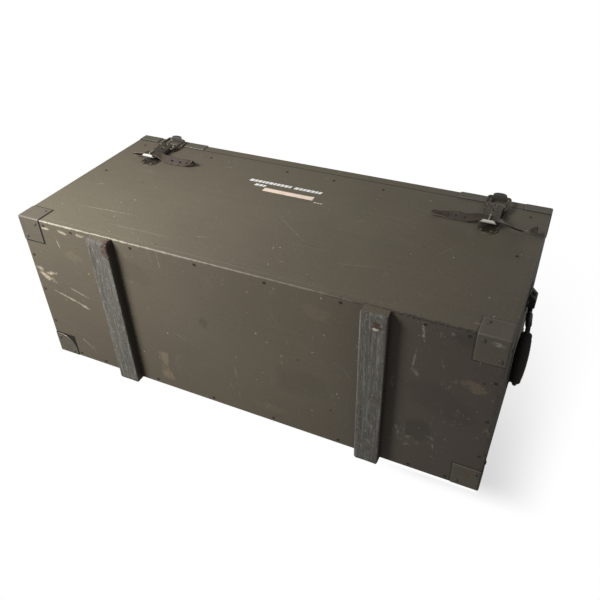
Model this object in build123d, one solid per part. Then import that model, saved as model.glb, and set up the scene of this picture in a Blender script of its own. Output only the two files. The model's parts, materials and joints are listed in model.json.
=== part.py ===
from build123d import *
import os

# Footlocker: a painted wooden chest on two skids, with a battened lid on two
# back hinges, two draw latches, a drop handle on each end and steel corners.
# Millimetres. X runs along the chest, -Y is the front, +Z is up.
# The origin is at the centre of the footprint, level with the skids' undersides.

# ---- driving dimensions ----
CASE_LENGTH = 880.0
CASE_DEPTH = 324.0
CHEST_HEIGHT = 392.0        # bottom panel's underside to the lid's top
LID_THICK = 22.0
PANEL = 12.0                # wall and bottom boards
SHEET = 1.2                 # corner protectors
PLATE = 2.0                 # latch, keeper and hinge plates

SKID_WIDTH = 43.0
SKID_HEIGHT = 18.0
SKID_X = 250.0
SKID_CHAMFER = 1.5

BATTEN_WIDTH = 38.0         # corner battens, along X
BATTEN_DEPTH = 24.0         # corner battens, along Y
BATTEN_GAP = 3.0            # below the rim
RAIL_DEPTH = 18.0
RAIL_HEIGHT = 24.0
RAIL_DROP = 13.0            # rim to the inner rail's top
CLEAT_WIDTH = 60.0
CLEAT_HEIGHT = 15.0
CLEAT_X = 250.0
CLEAT_GAP = 4.0             # cleat ends to the inner rails
CLEAT_CHAMFER = 3.0

CORNER_X = 46.0             # corner protector legs
CORNER_Y = 48.0
CORNER_Z = 38.0
CORNER_ROUND = 34.0         # the one rounded bottom leg
SEAM_GAP = 0.4              # lid steel's foot, above the seam

LATCH_X = 348.0
LATCH_BASE_WIDTH = 36.0
LATCH_BASE_LOW = 261.0      # heights above the bottom panel's underside
LATCH_BASE_HIGH = 354.0
LATCH_RIVETS = ((-9.0, 269.0), (9.0, 269.0), (-10.0, 322.0), (10.0, 322.0))
LATCH_RIVET_RADIUS = 2.8
LATCH_RIVET_PROUD = 1.2
PIVOT_OUT = 8.5             # lever pivot, out from the front
PIVOT_UP = 346.0
PIVOT_RADIUS = 2.0
CRANK = 12.0                # lever pivot to bail pins
RUNNING_GAP = 0.05          # radial, pins in turning parts
EAR_IN = 14.8
EAR_THICK = 1.5
EAR_RADIUS = 4.5
EAR_FOOT = 6.5              # below the pivot
LEVER_SLOT = (322.0, 328.0)
LEVER_SLOT_HALF = 3.0
LEVER_WALL_LOW = 300.0
LEVER_WIDTH = 29.0
LEVER_LOW = 276.0
LEVER_HIGH = 350.0
LEVER_WEB_OUT = 13.0        # lever's outer face
LEVER_WALL = 1.8
LEVER_WALL_BACK = 4.7
LEVER_LIP = 5.0
BAIL_RADIUS = 2.25
BAIL_HALF_WIDTH = 19.0
BAIL_BAR_UP = 382.0
BAIL_BEND = 5.0
BAIL_GAP = 0.4              # bail bar to the nose's floor
NOSE_WIDTH = 25.0
NOSE_THICK = 3.3
NOSE_INSIDE = 12.2          # lip's inner face, out from the front
NOSE_OUT = 16.0
NOSE_TOP = 388.0
KEEPER_INWARD = 72.0        # keeper plate, from the latch towards the middle
KEEPER_OUTWARD = 14.0
KEEPER_TOP_LEG = 30.0
KEEPER_RIVETS = (-4.0, 28.0, 60.0)      # from the latch towards the middle
KEEPER_RIVET_BACK = 20.0
LOOP_RADIUS = 1.25
LOOP_LOW = 280.5
LOOP_HIGH = 299.5
LOOP_STANDS = 6.0
STRAP_WIDTH = 16.0
STRAP_THICK = 2.4
STRAP_UP = 290.0
STRAP_INNER = 102.0         # strap's long end, towards the middle
STRAP_OUTER = {"left": 40.0, "right": 80.0}
STRAP_DROOP = 12.0          # degrees, the short end
STRAP_CLEAR = 0.7           # strap to lever
STRAP_FLAT = 17.0           # straight over the lever, each way
STRAP_LANDS = 42.0          # inner end meets the front
STRAP_LIFT = 2.0            # inner end's gap to the front
STRAP_CURL = 5.0            # outer end's rise at its tip
STRAP_LOW_POINT = 0.62      # share of the outer end's length

HINGE_X = 290.0
HINGE_WIDTH = 60.0
HINGE_AXIS_OUT = 6.0
KNUCKLE_RADIUS = 5.0
HINGE_PIN_RADIUS = 2.5
KNUCKLE_SPLIT = 12.0        # half width of the lid leaf's knuckle
KNUCKLE_GAP = 0.3
CASE_LEAF_HEIGHT = 50.0
LID_LEAF_TOP_LEG = 64.0
LEAF_CLEAR = 5.5            # leaf edge to the knuckle axis
LEAF_WEB = 3.0              # webs' edge to the seam
LEAF_NECK = 2.0             # necks' edge to the seam
LEAF_RIVETS_X = (-18.0, 18.0)
LID_RIVETS_BACK = (18.0, 50.0)          # in from the back
CASE_SCREWS_DOWN = (18.0, 40.0)         # below the seam

HANDLE_AXIS_OUT = 7.0
HANDLE_UP = 219.0
HANDLE_ROD_RADIUS = 4.0
HANDLE_BORE_GAP = 0.075
HANDLE_ARM_Y = 63.0         # arms, from the handle's middle
HANDLE_DROP = 57.0
HANDLE_BEND = 8.0
HANDLE_LEAN = 5.5           # degrees out from the end panel
GRIP_LENGTH = 108.0
GRIP_END_RADIUS = 8.5
GRIP_MID_RADIUS = 11.5
CAP_INNER_Y = 73.0          # cap's open end, from the handle's middle
CAP_OUTER_Y = 102.0
CAP_SLOPE = 13.0
CAP_HEIGHT = 13.5
CAP_WIDTH = 24.0
CAP_FLANGE_WIDTH = 48.0
CAP_FLANGE_THICK = 1.6
CAP_BLIND = 6.0             # solid end past the bore
CAP_RIVETS_Z = (-18.0, 18.0)
ROD_END_GAP = 1.0           # rod's end to the bore's end

NAIL_RADIUS = 3.0
NAIL_PROUD = 0.5
BATTEN_NAILS_UP = (212.0, 346.0)
RAIL_NAILS_X = (-240.0, -63.0, 38.0, 139.0)
BOTTOM_NAILS_X = (-384.0, -321.0, -192.0, -64.0, 64.0, 192.0, 321.0, 384.0)
END_NAILS_Y = (-80.0, 0.0, 80.0)
NAIL_INSET = 9.0            # bottom nails, in from the edges
RIVET_RADIUS = 3.4
RIVET_PROUD = 1.4
RIVET_INSET = 9.0           # corner rivets, in from the steel's edges
HEAD_ROUND = 0.6            # share of a head's height that is rounded
SCREW_RADIUS = 4.5
SCREW_DEPTH = 2.0
SCREW_CLEAR = 0.3           # head to its pocket, all round
SCREW_SUNK = 0.8            # head's face, below the skid's
SCREW_Y = (-132.0, -44.0, 44.0, 132.0)
LABEL_WIDTH = 105.0
LABEL_HEIGHT = 13.0
LABEL_THICK = 0.3
LABEL_X = -20.0
LABEL_UP = 262.0

# ---- derived places ----
FRONT_PROUD = LEVER_WEB_OUT + LOOP_STANDS + LOOP_RADIUS
BACK_PROUD = HINGE_AXIS_OUT + KNUCKLE_RADIUS
CASE_Y = (FRONT_PROUD - BACK_PROUD) / 2
FRONT = CASE_Y - CASE_DEPTH / 2
BACK = CASE_Y + CASE_DEPTH / 2
END = CASE_LENGTH / 2
RIM = CHEST_HEIGHT - LID_THICK          # seam, above the bottom's underside
SIDES = {"left": -1, "right": 1}
FACES = {"front": -1, "back": 1}


def up(height):
    """Z of a height measured from the bottom panel's underside."""
    return SKID_HEIGHT + height


def block(x0, x1, y0, y1, z0, z1):
    """Box between two corners, given in either order."""
    centre = Pos((x0 + x1) / 2, (y0 + y1) / 2, (z0 + z1) / 2)
    return centre * Box(abs(x1 - x0), abs(y1 - y0), abs(z1 - z0))


def front_block(x0, x1, out0, out1, low, high):
    """Box on the front, by distance out from it and height."""
    return block(x0, x1, FRONT - out0, FRONT - out1, up(low), up(high))


def back_block(x0, x1, out0, out1, low, high):
    """Box on the back, by distance out from it and height."""
    return block(x0, x1, BACK + out0, BACK + out1, up(low), up(high))


def rod_x(x0, x1, y, z, radius):
    """Round bar along X."""
    return Pos((x0 + x1) / 2, y, z) * Rot(0, 90, 0) * Cylinder(radius, abs(x1 - x0))


def rod_y(x, y0, y1, z, radius):
    """Round bar along Y."""
    return Pos(x, (y0 + y1) / 2, z) * Rot(90, 0, 0) * Cylinder(radius, abs(y1 - y0))


def head(point, normal, radius, proud):
    """Low round head of a nail or rivet, standing on a face."""
    disc = Cylinder(radius, proud, align=(Align.CENTER, Align.CENTER, Align.MIN))
    rim = disc.edges().group_by(Axis.Z)[-1]
    disc = fillet(rim, proud * HEAD_ROUND)
    return Plane(origin=point, z_dir=normal) * disc


# ---- case ----
def wall_panels():
    low, high = up(PANEL), up(RIM)
    inner = END - PANEL
    return {
        "bottom_panel": block(-END, END, FRONT, BACK, up(0), up(PANEL)),
        "front_panel": block(-END, END, FRONT, FRONT + PANEL, low, high),
        "back_panel": block(-END, END, BACK - PANEL, BACK, low, high),
        "end_panel_left": block(-END, -inner, FRONT + PANEL, BACK - PANEL, low, high),
        "end_panel_right": block(inner, END, FRONT + PANEL, BACK - PANEL, low, high),
    }


def corner_batten(side, face):
    wall_x = side * (END - PANEL)
    wall_y = CASE_Y + face * (CASE_DEPTH / 2 - PANEL)
    return block(
        wall_x, wall_x - side * BATTEN_WIDTH,
        wall_y, wall_y - face * BATTEN_DEPTH,
        up(PANEL), up(RIM - BATTEN_GAP),
    )


def inner_rail(face):
    half = END - PANEL - BATTEN_WIDTH
    wall_y = CASE_Y + face * (CASE_DEPTH / 2 - PANEL)
    top = RIM - RAIL_DROP
    return block(-half, half, wall_y, wall_y - face * RAIL_DEPTH, up(top - RAIL_HEIGHT), up(top))


def skid(side):
    x = side * SKID_X
    body = block(x - SKID_WIDTH / 2, x + SKID_WIDTH / 2, FRONT, BACK, 0, SKID_HEIGHT)
    body = chamfer(body.edges().filter_by(Axis.Y).group_by(Axis.Z)[0], SKID_CHAMFER)
    base = (Align.CENTER, Align.CENTER, Align.MIN)
    for y in SCREW_Y:
        pocket = Cylinder(SCREW_RADIUS + SCREW_CLEAR, SCREW_DEPTH, align=base)
        body -= Pos(x, CASE_Y + y, 0) * pocket
    return body


def skid_screws():
    hung = (Align.CENTER, Align.CENTER, Align.MAX)
    disc = Cylinder(SCREW_RADIUS, SCREW_DEPTH - SCREW_SUNK, align=hung)
    places = [(side * SKID_X, CASE_Y + y) for side in SIDES.values() for y in SCREW_Y]
    return [Pos(x, y, SCREW_DEPTH) * disc for x, y in places]


def corner_shell(side, face, low, high, sheet_below, sheet_above):
    """Sheet steel corner over an end, a long face and one level face."""
    x, y = side * END, CASE_Y + face * CASE_DEPTH / 2
    shell = block(
        x + side * SHEET, x - side * CORNER_X,
        y + face * SHEET, y - face * CORNER_Y,
        low - sheet_below, high + sheet_above,
    )
    core = block(x, x - side * CASE_LENGTH, y, y - face * CASE_DEPTH, low, high)
    return shell - core


def base_corner(side, face):
    corner = corner_shell(side, face, up(0), up(CORNER_Z), SHEET, 0)
    if (side, face) == (SIDES["left"], FACES["back"]):
        inner = corner.edges().filter_by(Axis.Z).sort_by(Axis.X)[-1]
        at_inner = [
            edge for edge in corner.edges().filter_by(Axis.Z)
            if abs(edge.center().X - inner.center().X) < SHEET
            and abs(edge.center().Y - (BACK - CORNER_Y)) < SHEET
        ]
        corner = fillet(at_inner, CORNER_ROUND)
    return corner


def lid_corner(side, face):
    return corner_shell(side, face, up(RIM) + SEAM_GAP, up(CHEST_HEIGHT), 0, SHEET)


def base_corner_rivets():
    rivets = []
    for side in SIDES.values():
        for face in FACES.values():
            x, y = side * END, CASE_Y + face * CASE_DEPTH / 2
            in_x = x - side * (CORNER_X - RIVET_INSET)
            in_y = y - face * (CORNER_Y - RIVET_INSET)
            near_x, near_y = x - side * RIVET_INSET, y - face * RIVET_INSET
            high = up(CORNER_Z - RIVET_INSET)
            under = up(0) - SHEET
            rivets += [
                head((in_x, y + face * SHEET, high), (0, face, 0), RIVET_RADIUS, RIVET_PROUD),
                head((x + side * SHEET, in_y, high), (side, 0, 0), RIVET_RADIUS, RIVET_PROUD),
                head((in_x, near_y, under), (0, 0, -1), RIVET_RADIUS, RIVET_PROUD),
                head((near_x, in_y, under), (0, 0, -1), RIVET_RADIUS, RIVET_PROUD),
            ]
    return rivets


def case_nails():
    """Nail heads: up the corner battens, along the rails and round the bottom."""
    nails = []
    batten_x = END - PANEL - BATTEN_WIDTH / 2
    for face in FACES.values():
        y = CASE_Y + face * CASE_DEPTH / 2
        for height in BATTEN_NAILS_UP:
            for x in (-batten_x, batten_x):
                nails.append(head((x, y, up(height)), (0, face, 0), NAIL_RADIUS, NAIL_PROUD))
        for x in RAIL_NAILS_X:
            nails.append(head((x, y, up(RIM - RAIL_DROP - RAIL_HEIGHT / 2)), (0, face, 0),
                              NAIL_RADIUS, NAIL_PROUD))
    edge_y = CASE_DEPTH / 2 - NAIL_INSET
    for x in BOTTOM_NAILS_X:
        for y in (-edge_y, edge_y):
            nails.append(head((x, CASE_Y + y, up(0)), (0, 0, -1), NAIL_RADIUS, NAIL_PROUD))
    for side in SIDES.values():
        for y in END_NAILS_Y:
            nails.append(head((side * (END - NAIL_INSET), CASE_Y + y, up(0)), (0, 0, -1),
                              NAIL_RADIUS, NAIL_PROUD))
    return nails


def front_label():
    x0, x1 = LABEL_X - LABEL_WIDTH / 2, LABEL_X + LABEL_WIDTH / 2
    low, high = LABEL_UP - LABEL_HEIGHT / 2, LABEL_UP + LABEL_HEIGHT / 2
    return front_block(x0, x1, 0, LABEL_THICK, low, high)


# ---- lid ----
def lid_board():
    return block(-END, END, FRONT, BACK, up(RIM), up(CHEST_HEIGHT))


def lid_cleat(side):
    x = side * CLEAT_X
    half = CASE_DEPTH / 2 - PANEL - RAIL_DEPTH - CLEAT_GAP
    body = block(x - CLEAT_WIDTH / 2, x + CLEAT_WIDTH / 2, CASE_Y - half, CASE_Y + half,
                 up(RIM - CLEAT_HEIGHT), up(RIM))
    return chamfer(body.edges().group_by(Axis.Z)[0], CLEAT_CHAMFER)


def keeper(side):
    """Angle plate over the lid's front edge, with the hook for the bail."""
    x = side * LATCH_X
    x0, x1 = x - side * KEEPER_INWARD, x + side * KEEPER_OUTWARD
    plate = front_block(x0, x1, 0, PLATE, RIM + SEAM_GAP, CHEST_HEIGHT)
    plate += block(x0, x1, FRONT - PLATE, FRONT + KEEPER_TOP_LEG,
                   up(CHEST_HEIGHT), up(CHEST_HEIGHT) + PLATE)
    half = NOSE_WIDTH / 2
    floor_top = BAIL_BAR_UP - BAIL_RADIUS - BAIL_GAP
    floor_low = floor_top - NOSE_THICK
    plate += front_block(x - half, x + half, PLATE, NOSE_OUT, floor_low, floor_top)
    lip = front_block(x - half, x + half, NOSE_INSIDE, NOSE_OUT, floor_low, NOSE_TOP)
    lip = fillet(lip.edges().filter_by(Axis.Y).group_by(Axis.Z)[-1], half - 1)
    return plate + lip


def lid_rivets():
    """Rivets of the keepers, lid leaves and lid corners."""
    top = up(CHEST_HEIGHT)
    rivets = []
    for side in SIDES.values():
        for inward in KEEPER_RIVETS:
            place = (side * (LATCH_X - inward), FRONT + KEEPER_RIVET_BACK, top + PLATE)
            rivets.append(head(place, (0, 0, 1), RIVET_RADIUS, RIVET_PROUD))
        for back in LID_RIVETS_BACK:
            for across in LEAF_RIVETS_X:
                place = (side * HINGE_X + across, BACK - back, top + PLATE)
                rivets.append(head(place, (0, 0, 1), RIVET_RADIUS, RIVET_PROUD))
        for face in FACES.values():
            x, y = side * END, CASE_Y + face * CASE_DEPTH / 2
            in_x = x - side * (CORNER_X - RIVET_INSET)
            in_y = y - face * (CORNER_Y - RIVET_INSET)
            near_x, near_y = x - side * RIVET_INSET, y - face * RIVET_INSET
            rivets += [
                head((in_x, near_y, top + SHEET), (0, 0, 1), RIVET_RADIUS, RIVET_PROUD),
                head((near_x, in_y, top + SHEET), (0, 0, 1), RIVET_RADIUS, RIVET_PROUD),
            ]
    return rivets


# ---- draw latches ----
def latch_base(side):
    """Riveted plate with a round foot and two ears for the lever pivot."""
    x = side * LATCH_X
    half = LATCH_BASE_WIDTH / 2
    plate = front_block(x - half, x + half, 0, PLATE, LATCH_BASE_LOW, LATCH_BASE_HIGH)
    plate = fillet(plate.edges().filter_by(Axis.Y).group_by(Axis.Z)[0], half - 0.5)
    pivot_y, pivot_z = FRONT - PIVOT_OUT, up(PIVOT_UP)
    for hand in (-1, 1):
        x0, x1 = x + hand * EAR_IN, x + hand * (EAR_IN + EAR_THICK)
        ear = front_block(x0, x1, PLATE, PIVOT_OUT, PIVOT_UP - EAR_FOOT, PIVOT_UP + EAR_RADIUS)
        ear += rod_x(x0, x1, pivot_y, pivot_z, EAR_RADIUS)
        plate += ear - rod_x(x0, x1, pivot_y, pivot_z, PIVOT_RADIUS)
    return plate


def latch_pin(side):
    x = side * LATCH_X
    reach = EAR_IN + EAR_THICK
    return rod_x(x - reach, x + reach, FRONT - PIVOT_OUT, up(PIVOT_UP), PIVOT_RADIUS)


def latch_rivets():
    return [
        head((side * LATCH_X + across, FRONT - PLATE, up(height)), (0, -1, 0),
             LATCH_RIVET_RADIUS, LATCH_RIVET_PROUD)
        for side in SIDES.values() for across, height in LATCH_RIVETS
    ]


def latch_lever(side):
    """Channel-section lever: web outside, walls that turn on the pivot pin."""
    x = side * LATCH_X
    half = LEVER_WIDTH / 2
    web_in = LEVER_WEB_OUT - PLATE
    lever = front_block(x - half, x + half, web_in, LEVER_WEB_OUT, LEVER_LOW, LEVER_HIGH)
    lever += front_block(x - half, x + half, web_in, LEVER_WEB_OUT + LEVER_LIP,
                         LEVER_LOW - PLATE, LEVER_LOW)
    lever -= front_block(x - LEVER_SLOT_HALF, x + LEVER_SLOT_HALF, web_in, LEVER_WEB_OUT, *LEVER_SLOT)
    pivot_y, pivot_z = FRONT - PIVOT_OUT, up(PIVOT_UP)
    for hand in (-1, 1):
        x0, x1 = x + hand * (half - LEVER_WALL), x + hand * half
        wall = front_block(x0, x1, LEVER_WALL_BACK, web_in, LEVER_WALL_LOW, PIVOT_UP)
        wall += rod_x(x0, x1, pivot_y, pivot_z, PIVOT_OUT - LEVER_WALL_BACK)
        for height in (PIVOT_UP, PIVOT_UP - CRANK):
            wall -= rod_x(x0, x1, pivot_y, up(height), PIVOT_RADIUS + RUNNING_GAP)
        lever += wall
    return lever


def lever_loop(side):
    """Upright wire loop on the lever, for the strap."""
    x = side * LATCH_X
    crown = LEVER_WEB_OUT + LOOP_STANDS
    path = FilletPolyline(
        (x, FRONT - LEVER_WEB_OUT, up(LOOP_LOW)),
        (x, FRONT - crown, up(LOOP_LOW)),
        (x, FRONT - crown, up(LOOP_HIGH)),
        (x, FRONT - LEVER_WEB_OUT, up(LOOP_HIGH)),
        radius=LOOP_RADIUS * 2,
    )
    return sweep(Plane(origin=path @ 0, z_dir=path % 0) * Circle(LOOP_RADIUS), path=path)


def latch_bail(side):
    """Wire bail: bar over the keeper's hook, legs down to pins in the lever."""
    x = side * LATCH_X
    y = FRONT - PIVOT_OUT
    pins = up(PIVOT_UP - CRANK)
    path = FilletPolyline(
        (x - BAIL_HALF_WIDTH, y, pins),
        (x - BAIL_HALF_WIDTH, y, up(BAIL_BAR_UP)),
        (x + BAIL_HALF_WIDTH, y, up(BAIL_BAR_UP)),
        (x + BAIL_HALF_WIDTH, y, pins),
        radius=BAIL_BEND,
    )
    bail = sweep(Plane(origin=path @ 0, z_dir=path % 0) * Circle(BAIL_RADIUS), path=path)
    for hand in (-1, 1):
        outer = x + hand * BAIL_HALF_WIDTH
        bail += Pos(outer, y, pins) * Sphere(BAIL_RADIUS)
        bail += rod_x(outer, x + hand * (LEVER_WIDTH / 2 - LEVER_WALL - 1), y, pins, PIVOT_RADIUS)
    return bail


def strap_band(points, length_side, low, high):
    """Flat band that follows points (along, out), seen from above."""
    centre = Polyline(*[(length_side * along, -out) for along, out in points])
    band = offset(centre, STRAP_THICK / 2, kind=Kind.ARC)
    return Pos(0, FRONT, low) * extrude(make_face(band.edges()), high - low)


def latch_strap(name, side):
    """Leather strap threaded through the lever's loop, with two loose ends."""
    low, high = up(STRAP_UP - STRAP_WIDTH / 2), up(STRAP_UP + STRAP_WIDTH / 2)
    through = LEVER_WEB_OUT + STRAP_CLEAR + STRAP_THICK / 2
    near = STRAP_LIFT + STRAP_THICK
    inner = strap_band(((0, through), (STRAP_FLAT, through), (STRAP_LANDS, near), (STRAP_INNER, near)),
                       -side, low, high)
    reach = STRAP_OUTER[name]
    outer = strap_band(((0, through), (STRAP_FLAT, through), (reach * STRAP_LOW_POINT, near + 1),
                        (reach, near + 1 + STRAP_CURL)), side, low, high)
    pivot = Axis((0, FRONT, up(STRAP_UP)), (0, 1, 0))
    outer = outer.rotate(pivot, side * STRAP_DROOP)
    return Pos(side * LATCH_X, 0, 0) * (inner + outer)


# ---- hinges ----
def hinge_case_leaf(side):
    x, half = side * HINGE_X, HINGE_WIDTH / 2
    axis_y, axis_z = BACK + HINGE_AXIS_OUT, up(RIM)
    leaf = back_block(x - half, x + half, 0, PLATE, RIM - CASE_LEAF_HEIGHT, RIM - LEAF_CLEAR)
    for hand in (-1, 1):
        x0, x1 = x + hand * KNUCKLE_SPLIT, x + hand * half
        leaf += back_block(x0, x1, 0, PLATE, RIM - LEAF_CLEAR, RIM - LEAF_NECK)
        leaf += back_block(x0, x1, 0, HINGE_AXIS_OUT, RIM - KNUCKLE_RADIUS, RIM - LEAF_WEB)
        leaf += rod_x(x0, x1, axis_y, axis_z, KNUCKLE_RADIUS)
    return leaf - rod_x(x - half, x + half, axis_y, axis_z, HINGE_PIN_RADIUS)


def hinge_lid_leaf(side):
    x, half = side * HINGE_X, HINGE_WIDTH / 2
    axis_y, axis_z = BACK + HINGE_AXIS_OUT, up(RIM)
    split = KNUCKLE_SPLIT - KNUCKLE_GAP
    leaf = back_block(x - half, x + half, 0, PLATE, RIM + LEAF_CLEAR, CHEST_HEIGHT)
    leaf += block(x - half, x + half, BACK - LID_LEAF_TOP_LEG, BACK + PLATE,
                  up(CHEST_HEIGHT), up(CHEST_HEIGHT) + PLATE)
    leaf += back_block(x - split, x + split, 0, PLATE, RIM + LEAF_NECK, RIM + LEAF_CLEAR)
    leaf += back_block(x - split, x + split, 0, HINGE_AXIS_OUT, RIM + LEAF_WEB, RIM + KNUCKLE_RADIUS)
    leaf += rod_x(x - split, x + split, axis_y, axis_z, KNUCKLE_RADIUS)
    bore = HINGE_PIN_RADIUS + RUNNING_GAP
    return leaf - rod_x(x - half, x + half, axis_y, axis_z, bore)


def hinge_pin(side):
    x, half = side * HINGE_X, HINGE_WIDTH / 2
    return rod_x(x - half, x + half, BACK + HINGE_AXIS_OUT, up(RIM), HINGE_PIN_RADIUS)


def hinge_screws():
    return [
        head((side * HINGE_X + across, BACK + PLATE, up(RIM - down)), (0, 1, 0),
             RIVET_RADIUS, RIVET_PROUD)
        for side in SIDES.values() for across in LEAF_RIVETS_X for down in CASE_SCREWS_DOWN
    ]


# ---- end handles ----
def handle_cap(side, face):
    """Sloped steel cap over a handle end, on a flange riveted to the end panel."""
    x = side * END
    y0, y1 = face * CAP_INNER_Y, face * CAP_OUTER_Y
    outline = Polyline(
        (x, y0), (x + side * CAP_HEIGHT, y0),
        (x + side * CAP_HEIGHT, y1 - face * CAP_SLOPE), (x, y1),
        close=True,
    )
    cap = Pos(0, CASE_Y, up(HANDLE_UP) - CAP_WIDTH / 2) * extrude(make_face(outline), CAP_WIDTH)
    flange = block(
        x, x + side * CAP_FLANGE_THICK, CASE_Y + y0, CASE_Y + y1,
        up(HANDLE_UP) - CAP_FLANGE_WIDTH / 2, up(HANDLE_UP) + CAP_FLANGE_WIDTH / 2,
    )
    bore = rod_y(x + side * HANDLE_AXIS_OUT, CASE_Y + y0, CASE_Y + y1 - face * CAP_BLIND,
                 up(HANDLE_UP), HANDLE_ROD_RADIUS + HANDLE_BORE_GAP)
    return cap + flange - bore


def handle_rod_path(x):
    """Hanging straight down: in from one cap, down, across and back up."""
    end_y = CAP_OUTER_Y - CAP_BLIND - ROD_END_GAP
    low = up(HANDLE_UP) - HANDLE_DROP
    top = up(HANDLE_UP)
    return FilletPolyline(
        (x, CASE_Y - end_y, top), (x, CASE_Y - HANDLE_ARM_Y, top),
        (x, CASE_Y - HANDLE_ARM_Y, low), (x, CASE_Y + HANDLE_ARM_Y, low),
        (x, CASE_Y + HANDLE_ARM_Y, top), (x, CASE_Y + end_y, top),
        radius=HANDLE_BEND,
    )


def handle_pieces(side):
    """The rod and its barrel grip, leaning out so the grip clears the panel."""
    x = side * (END + HANDLE_AXIS_OUT)
    path = handle_rod_path(x)
    rod = sweep(Plane(origin=path @ 0, z_dir=path % 0) * Circle(HANDLE_ROD_RADIUS), path=path)
    half = GRIP_LENGTH / 2
    barrel = ThreePointArc((GRIP_END_RADIUS, -half), (GRIP_MID_RADIUS, 0), (GRIP_END_RADIUS, half))
    profile = Polyline((GRIP_END_RADIUS, half), (0, half), (0, -half), (GRIP_END_RADIUS, -half))
    grip = revolve(make_face([*barrel.edges(), *profile.edges()]), Axis.Y)
    grip = Pos(x, CASE_Y, up(HANDLE_UP) - HANDLE_DROP) * grip - rod
    pivot = Axis((x, CASE_Y, up(HANDLE_UP)), (0, 1, 0))
    lean = -side * HANDLE_LEAN
    return rod.rotate(pivot, lean), grip.rotate(pivot, lean)


def handle_rivets():
    rivets = []
    for side in SIDES.values():
        x = side * (END + CAP_FLANGE_THICK)
        for face in FACES.values():
            y = CASE_Y + face * (CAP_INNER_Y + CAP_OUTER_Y) / 2
            for above in CAP_RIVETS_Z:
                rivets.append(head((x, y, up(HANDLE_UP) + above), (side, 0, 0),
                                   RIVET_RADIUS, RIVET_PROUD))
    return rivets


def build():
    """Every node by name, as a solid or a list of separate solids."""
    nodes = dict(wall_panels())
    for side_name, side in SIDES.items():
        for face_name, face in FACES.items():
            place = f"{face_name}_{side_name}"
            nodes[f"corner_batten_{place}"] = corner_batten(side, face)
            nodes[f"base_corner_{place}"] = base_corner(side, face)
            nodes[f"lid_corner_{place}"] = lid_corner(side, face)
            nodes[f"handle_cap_{place}"] = handle_cap(side, face)
        rod, grip = handle_pieces(side)
        nodes[f"handle_rod_{side_name}"] = rod
        nodes[f"handle_grip_{side_name}"] = grip
        nodes[f"skid_{side_name}"] = skid(side)
        nodes[f"lid_cleat_{side_name}"] = lid_cleat(side)
        nodes[f"keeper_{side_name}"] = keeper(side)
        nodes[f"latch_base_{side_name}"] = latch_base(side)
        nodes[f"latch_pin_{side_name}"] = latch_pin(side)
        nodes[f"latch_lever_{side_name}"] = latch_lever(side)
        nodes[f"lever_loop_{side_name}"] = lever_loop(side)
        nodes[f"latch_bail_{side_name}"] = latch_bail(side)
        nodes[f"latch_strap_{side_name}"] = latch_strap(side_name, side)
        nodes[f"hinge_case_leaf_{side_name}"] = hinge_case_leaf(side)
        nodes[f"hinge_lid_leaf_{side_name}"] = hinge_lid_leaf(side)
        nodes[f"hinge_pin_{side_name}"] = hinge_pin(side)
    for face_name, face in FACES.items():
        nodes[f"inner_rail_{face_name}"] = inner_rail(face)
    nodes["lid_board"] = lid_board()
    nodes["front_label"] = front_label()
    nodes["skid_screws"] = skid_screws()
    nodes["case_nails"] = case_nails()
    nodes["base_corner_rivets"] = base_corner_rivets()
    nodes["latch_rivets"] = latch_rivets()
    nodes["hinge_screws"] = hinge_screws()
    nodes["handle_rivets"] = handle_rivets()
    nodes["lid_rivets"] = lid_rivets()
    return nodes


NODES = build()
os.makedirs("parts", exist_ok=True)
for name, shape in NODES.items():
    solids = shape if isinstance(shape, list) else shape.solids()
    node = solids[0] if len(solids) == 1 else Compound(children=list(solids))
    export_step(node, f"parts/{name}.step")
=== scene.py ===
"""Looks of the footlocker: paint, worn wood, steel, leather, stage, lights and camera.

The chest stands on its skids, +Z up through the lid, -Y at the front. Metres throughout.
"""

import json
import math

import bmesh
import bpy
from bpy.props import FloatProperty, FloatVectorProperty, IntProperty, PointerProperty
from mathutils import Matrix, Vector, noise


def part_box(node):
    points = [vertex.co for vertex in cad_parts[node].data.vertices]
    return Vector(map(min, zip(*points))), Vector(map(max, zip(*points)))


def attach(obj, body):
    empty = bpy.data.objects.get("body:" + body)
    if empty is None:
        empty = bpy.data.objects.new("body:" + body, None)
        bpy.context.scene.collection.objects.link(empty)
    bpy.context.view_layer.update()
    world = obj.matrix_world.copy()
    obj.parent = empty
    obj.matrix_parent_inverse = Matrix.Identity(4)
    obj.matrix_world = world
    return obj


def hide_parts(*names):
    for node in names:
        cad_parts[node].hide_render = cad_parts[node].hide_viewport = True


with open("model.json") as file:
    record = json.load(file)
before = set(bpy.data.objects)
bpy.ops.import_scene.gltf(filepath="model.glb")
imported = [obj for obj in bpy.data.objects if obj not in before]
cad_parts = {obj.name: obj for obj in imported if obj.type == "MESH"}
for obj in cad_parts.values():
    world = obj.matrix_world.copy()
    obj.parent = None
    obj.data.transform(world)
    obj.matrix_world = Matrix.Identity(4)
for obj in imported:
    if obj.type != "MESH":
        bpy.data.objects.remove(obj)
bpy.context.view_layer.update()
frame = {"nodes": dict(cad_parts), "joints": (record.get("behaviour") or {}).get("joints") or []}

bl_info = {
    "name": "Footlocker",
    "version": (1, 0, 0),
    "blender": (4, 5, 0),
    "location": "3D View > Sidebar > Footlocker",
    "description": "Builds the pieces and finishes of a painted wooden footlocker",
    "category": "Add Mesh",
}

MM = 0.001
SIDES = {"left": -1, "right": 1}
FACES = {"front": -1, "back": 1}

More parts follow.
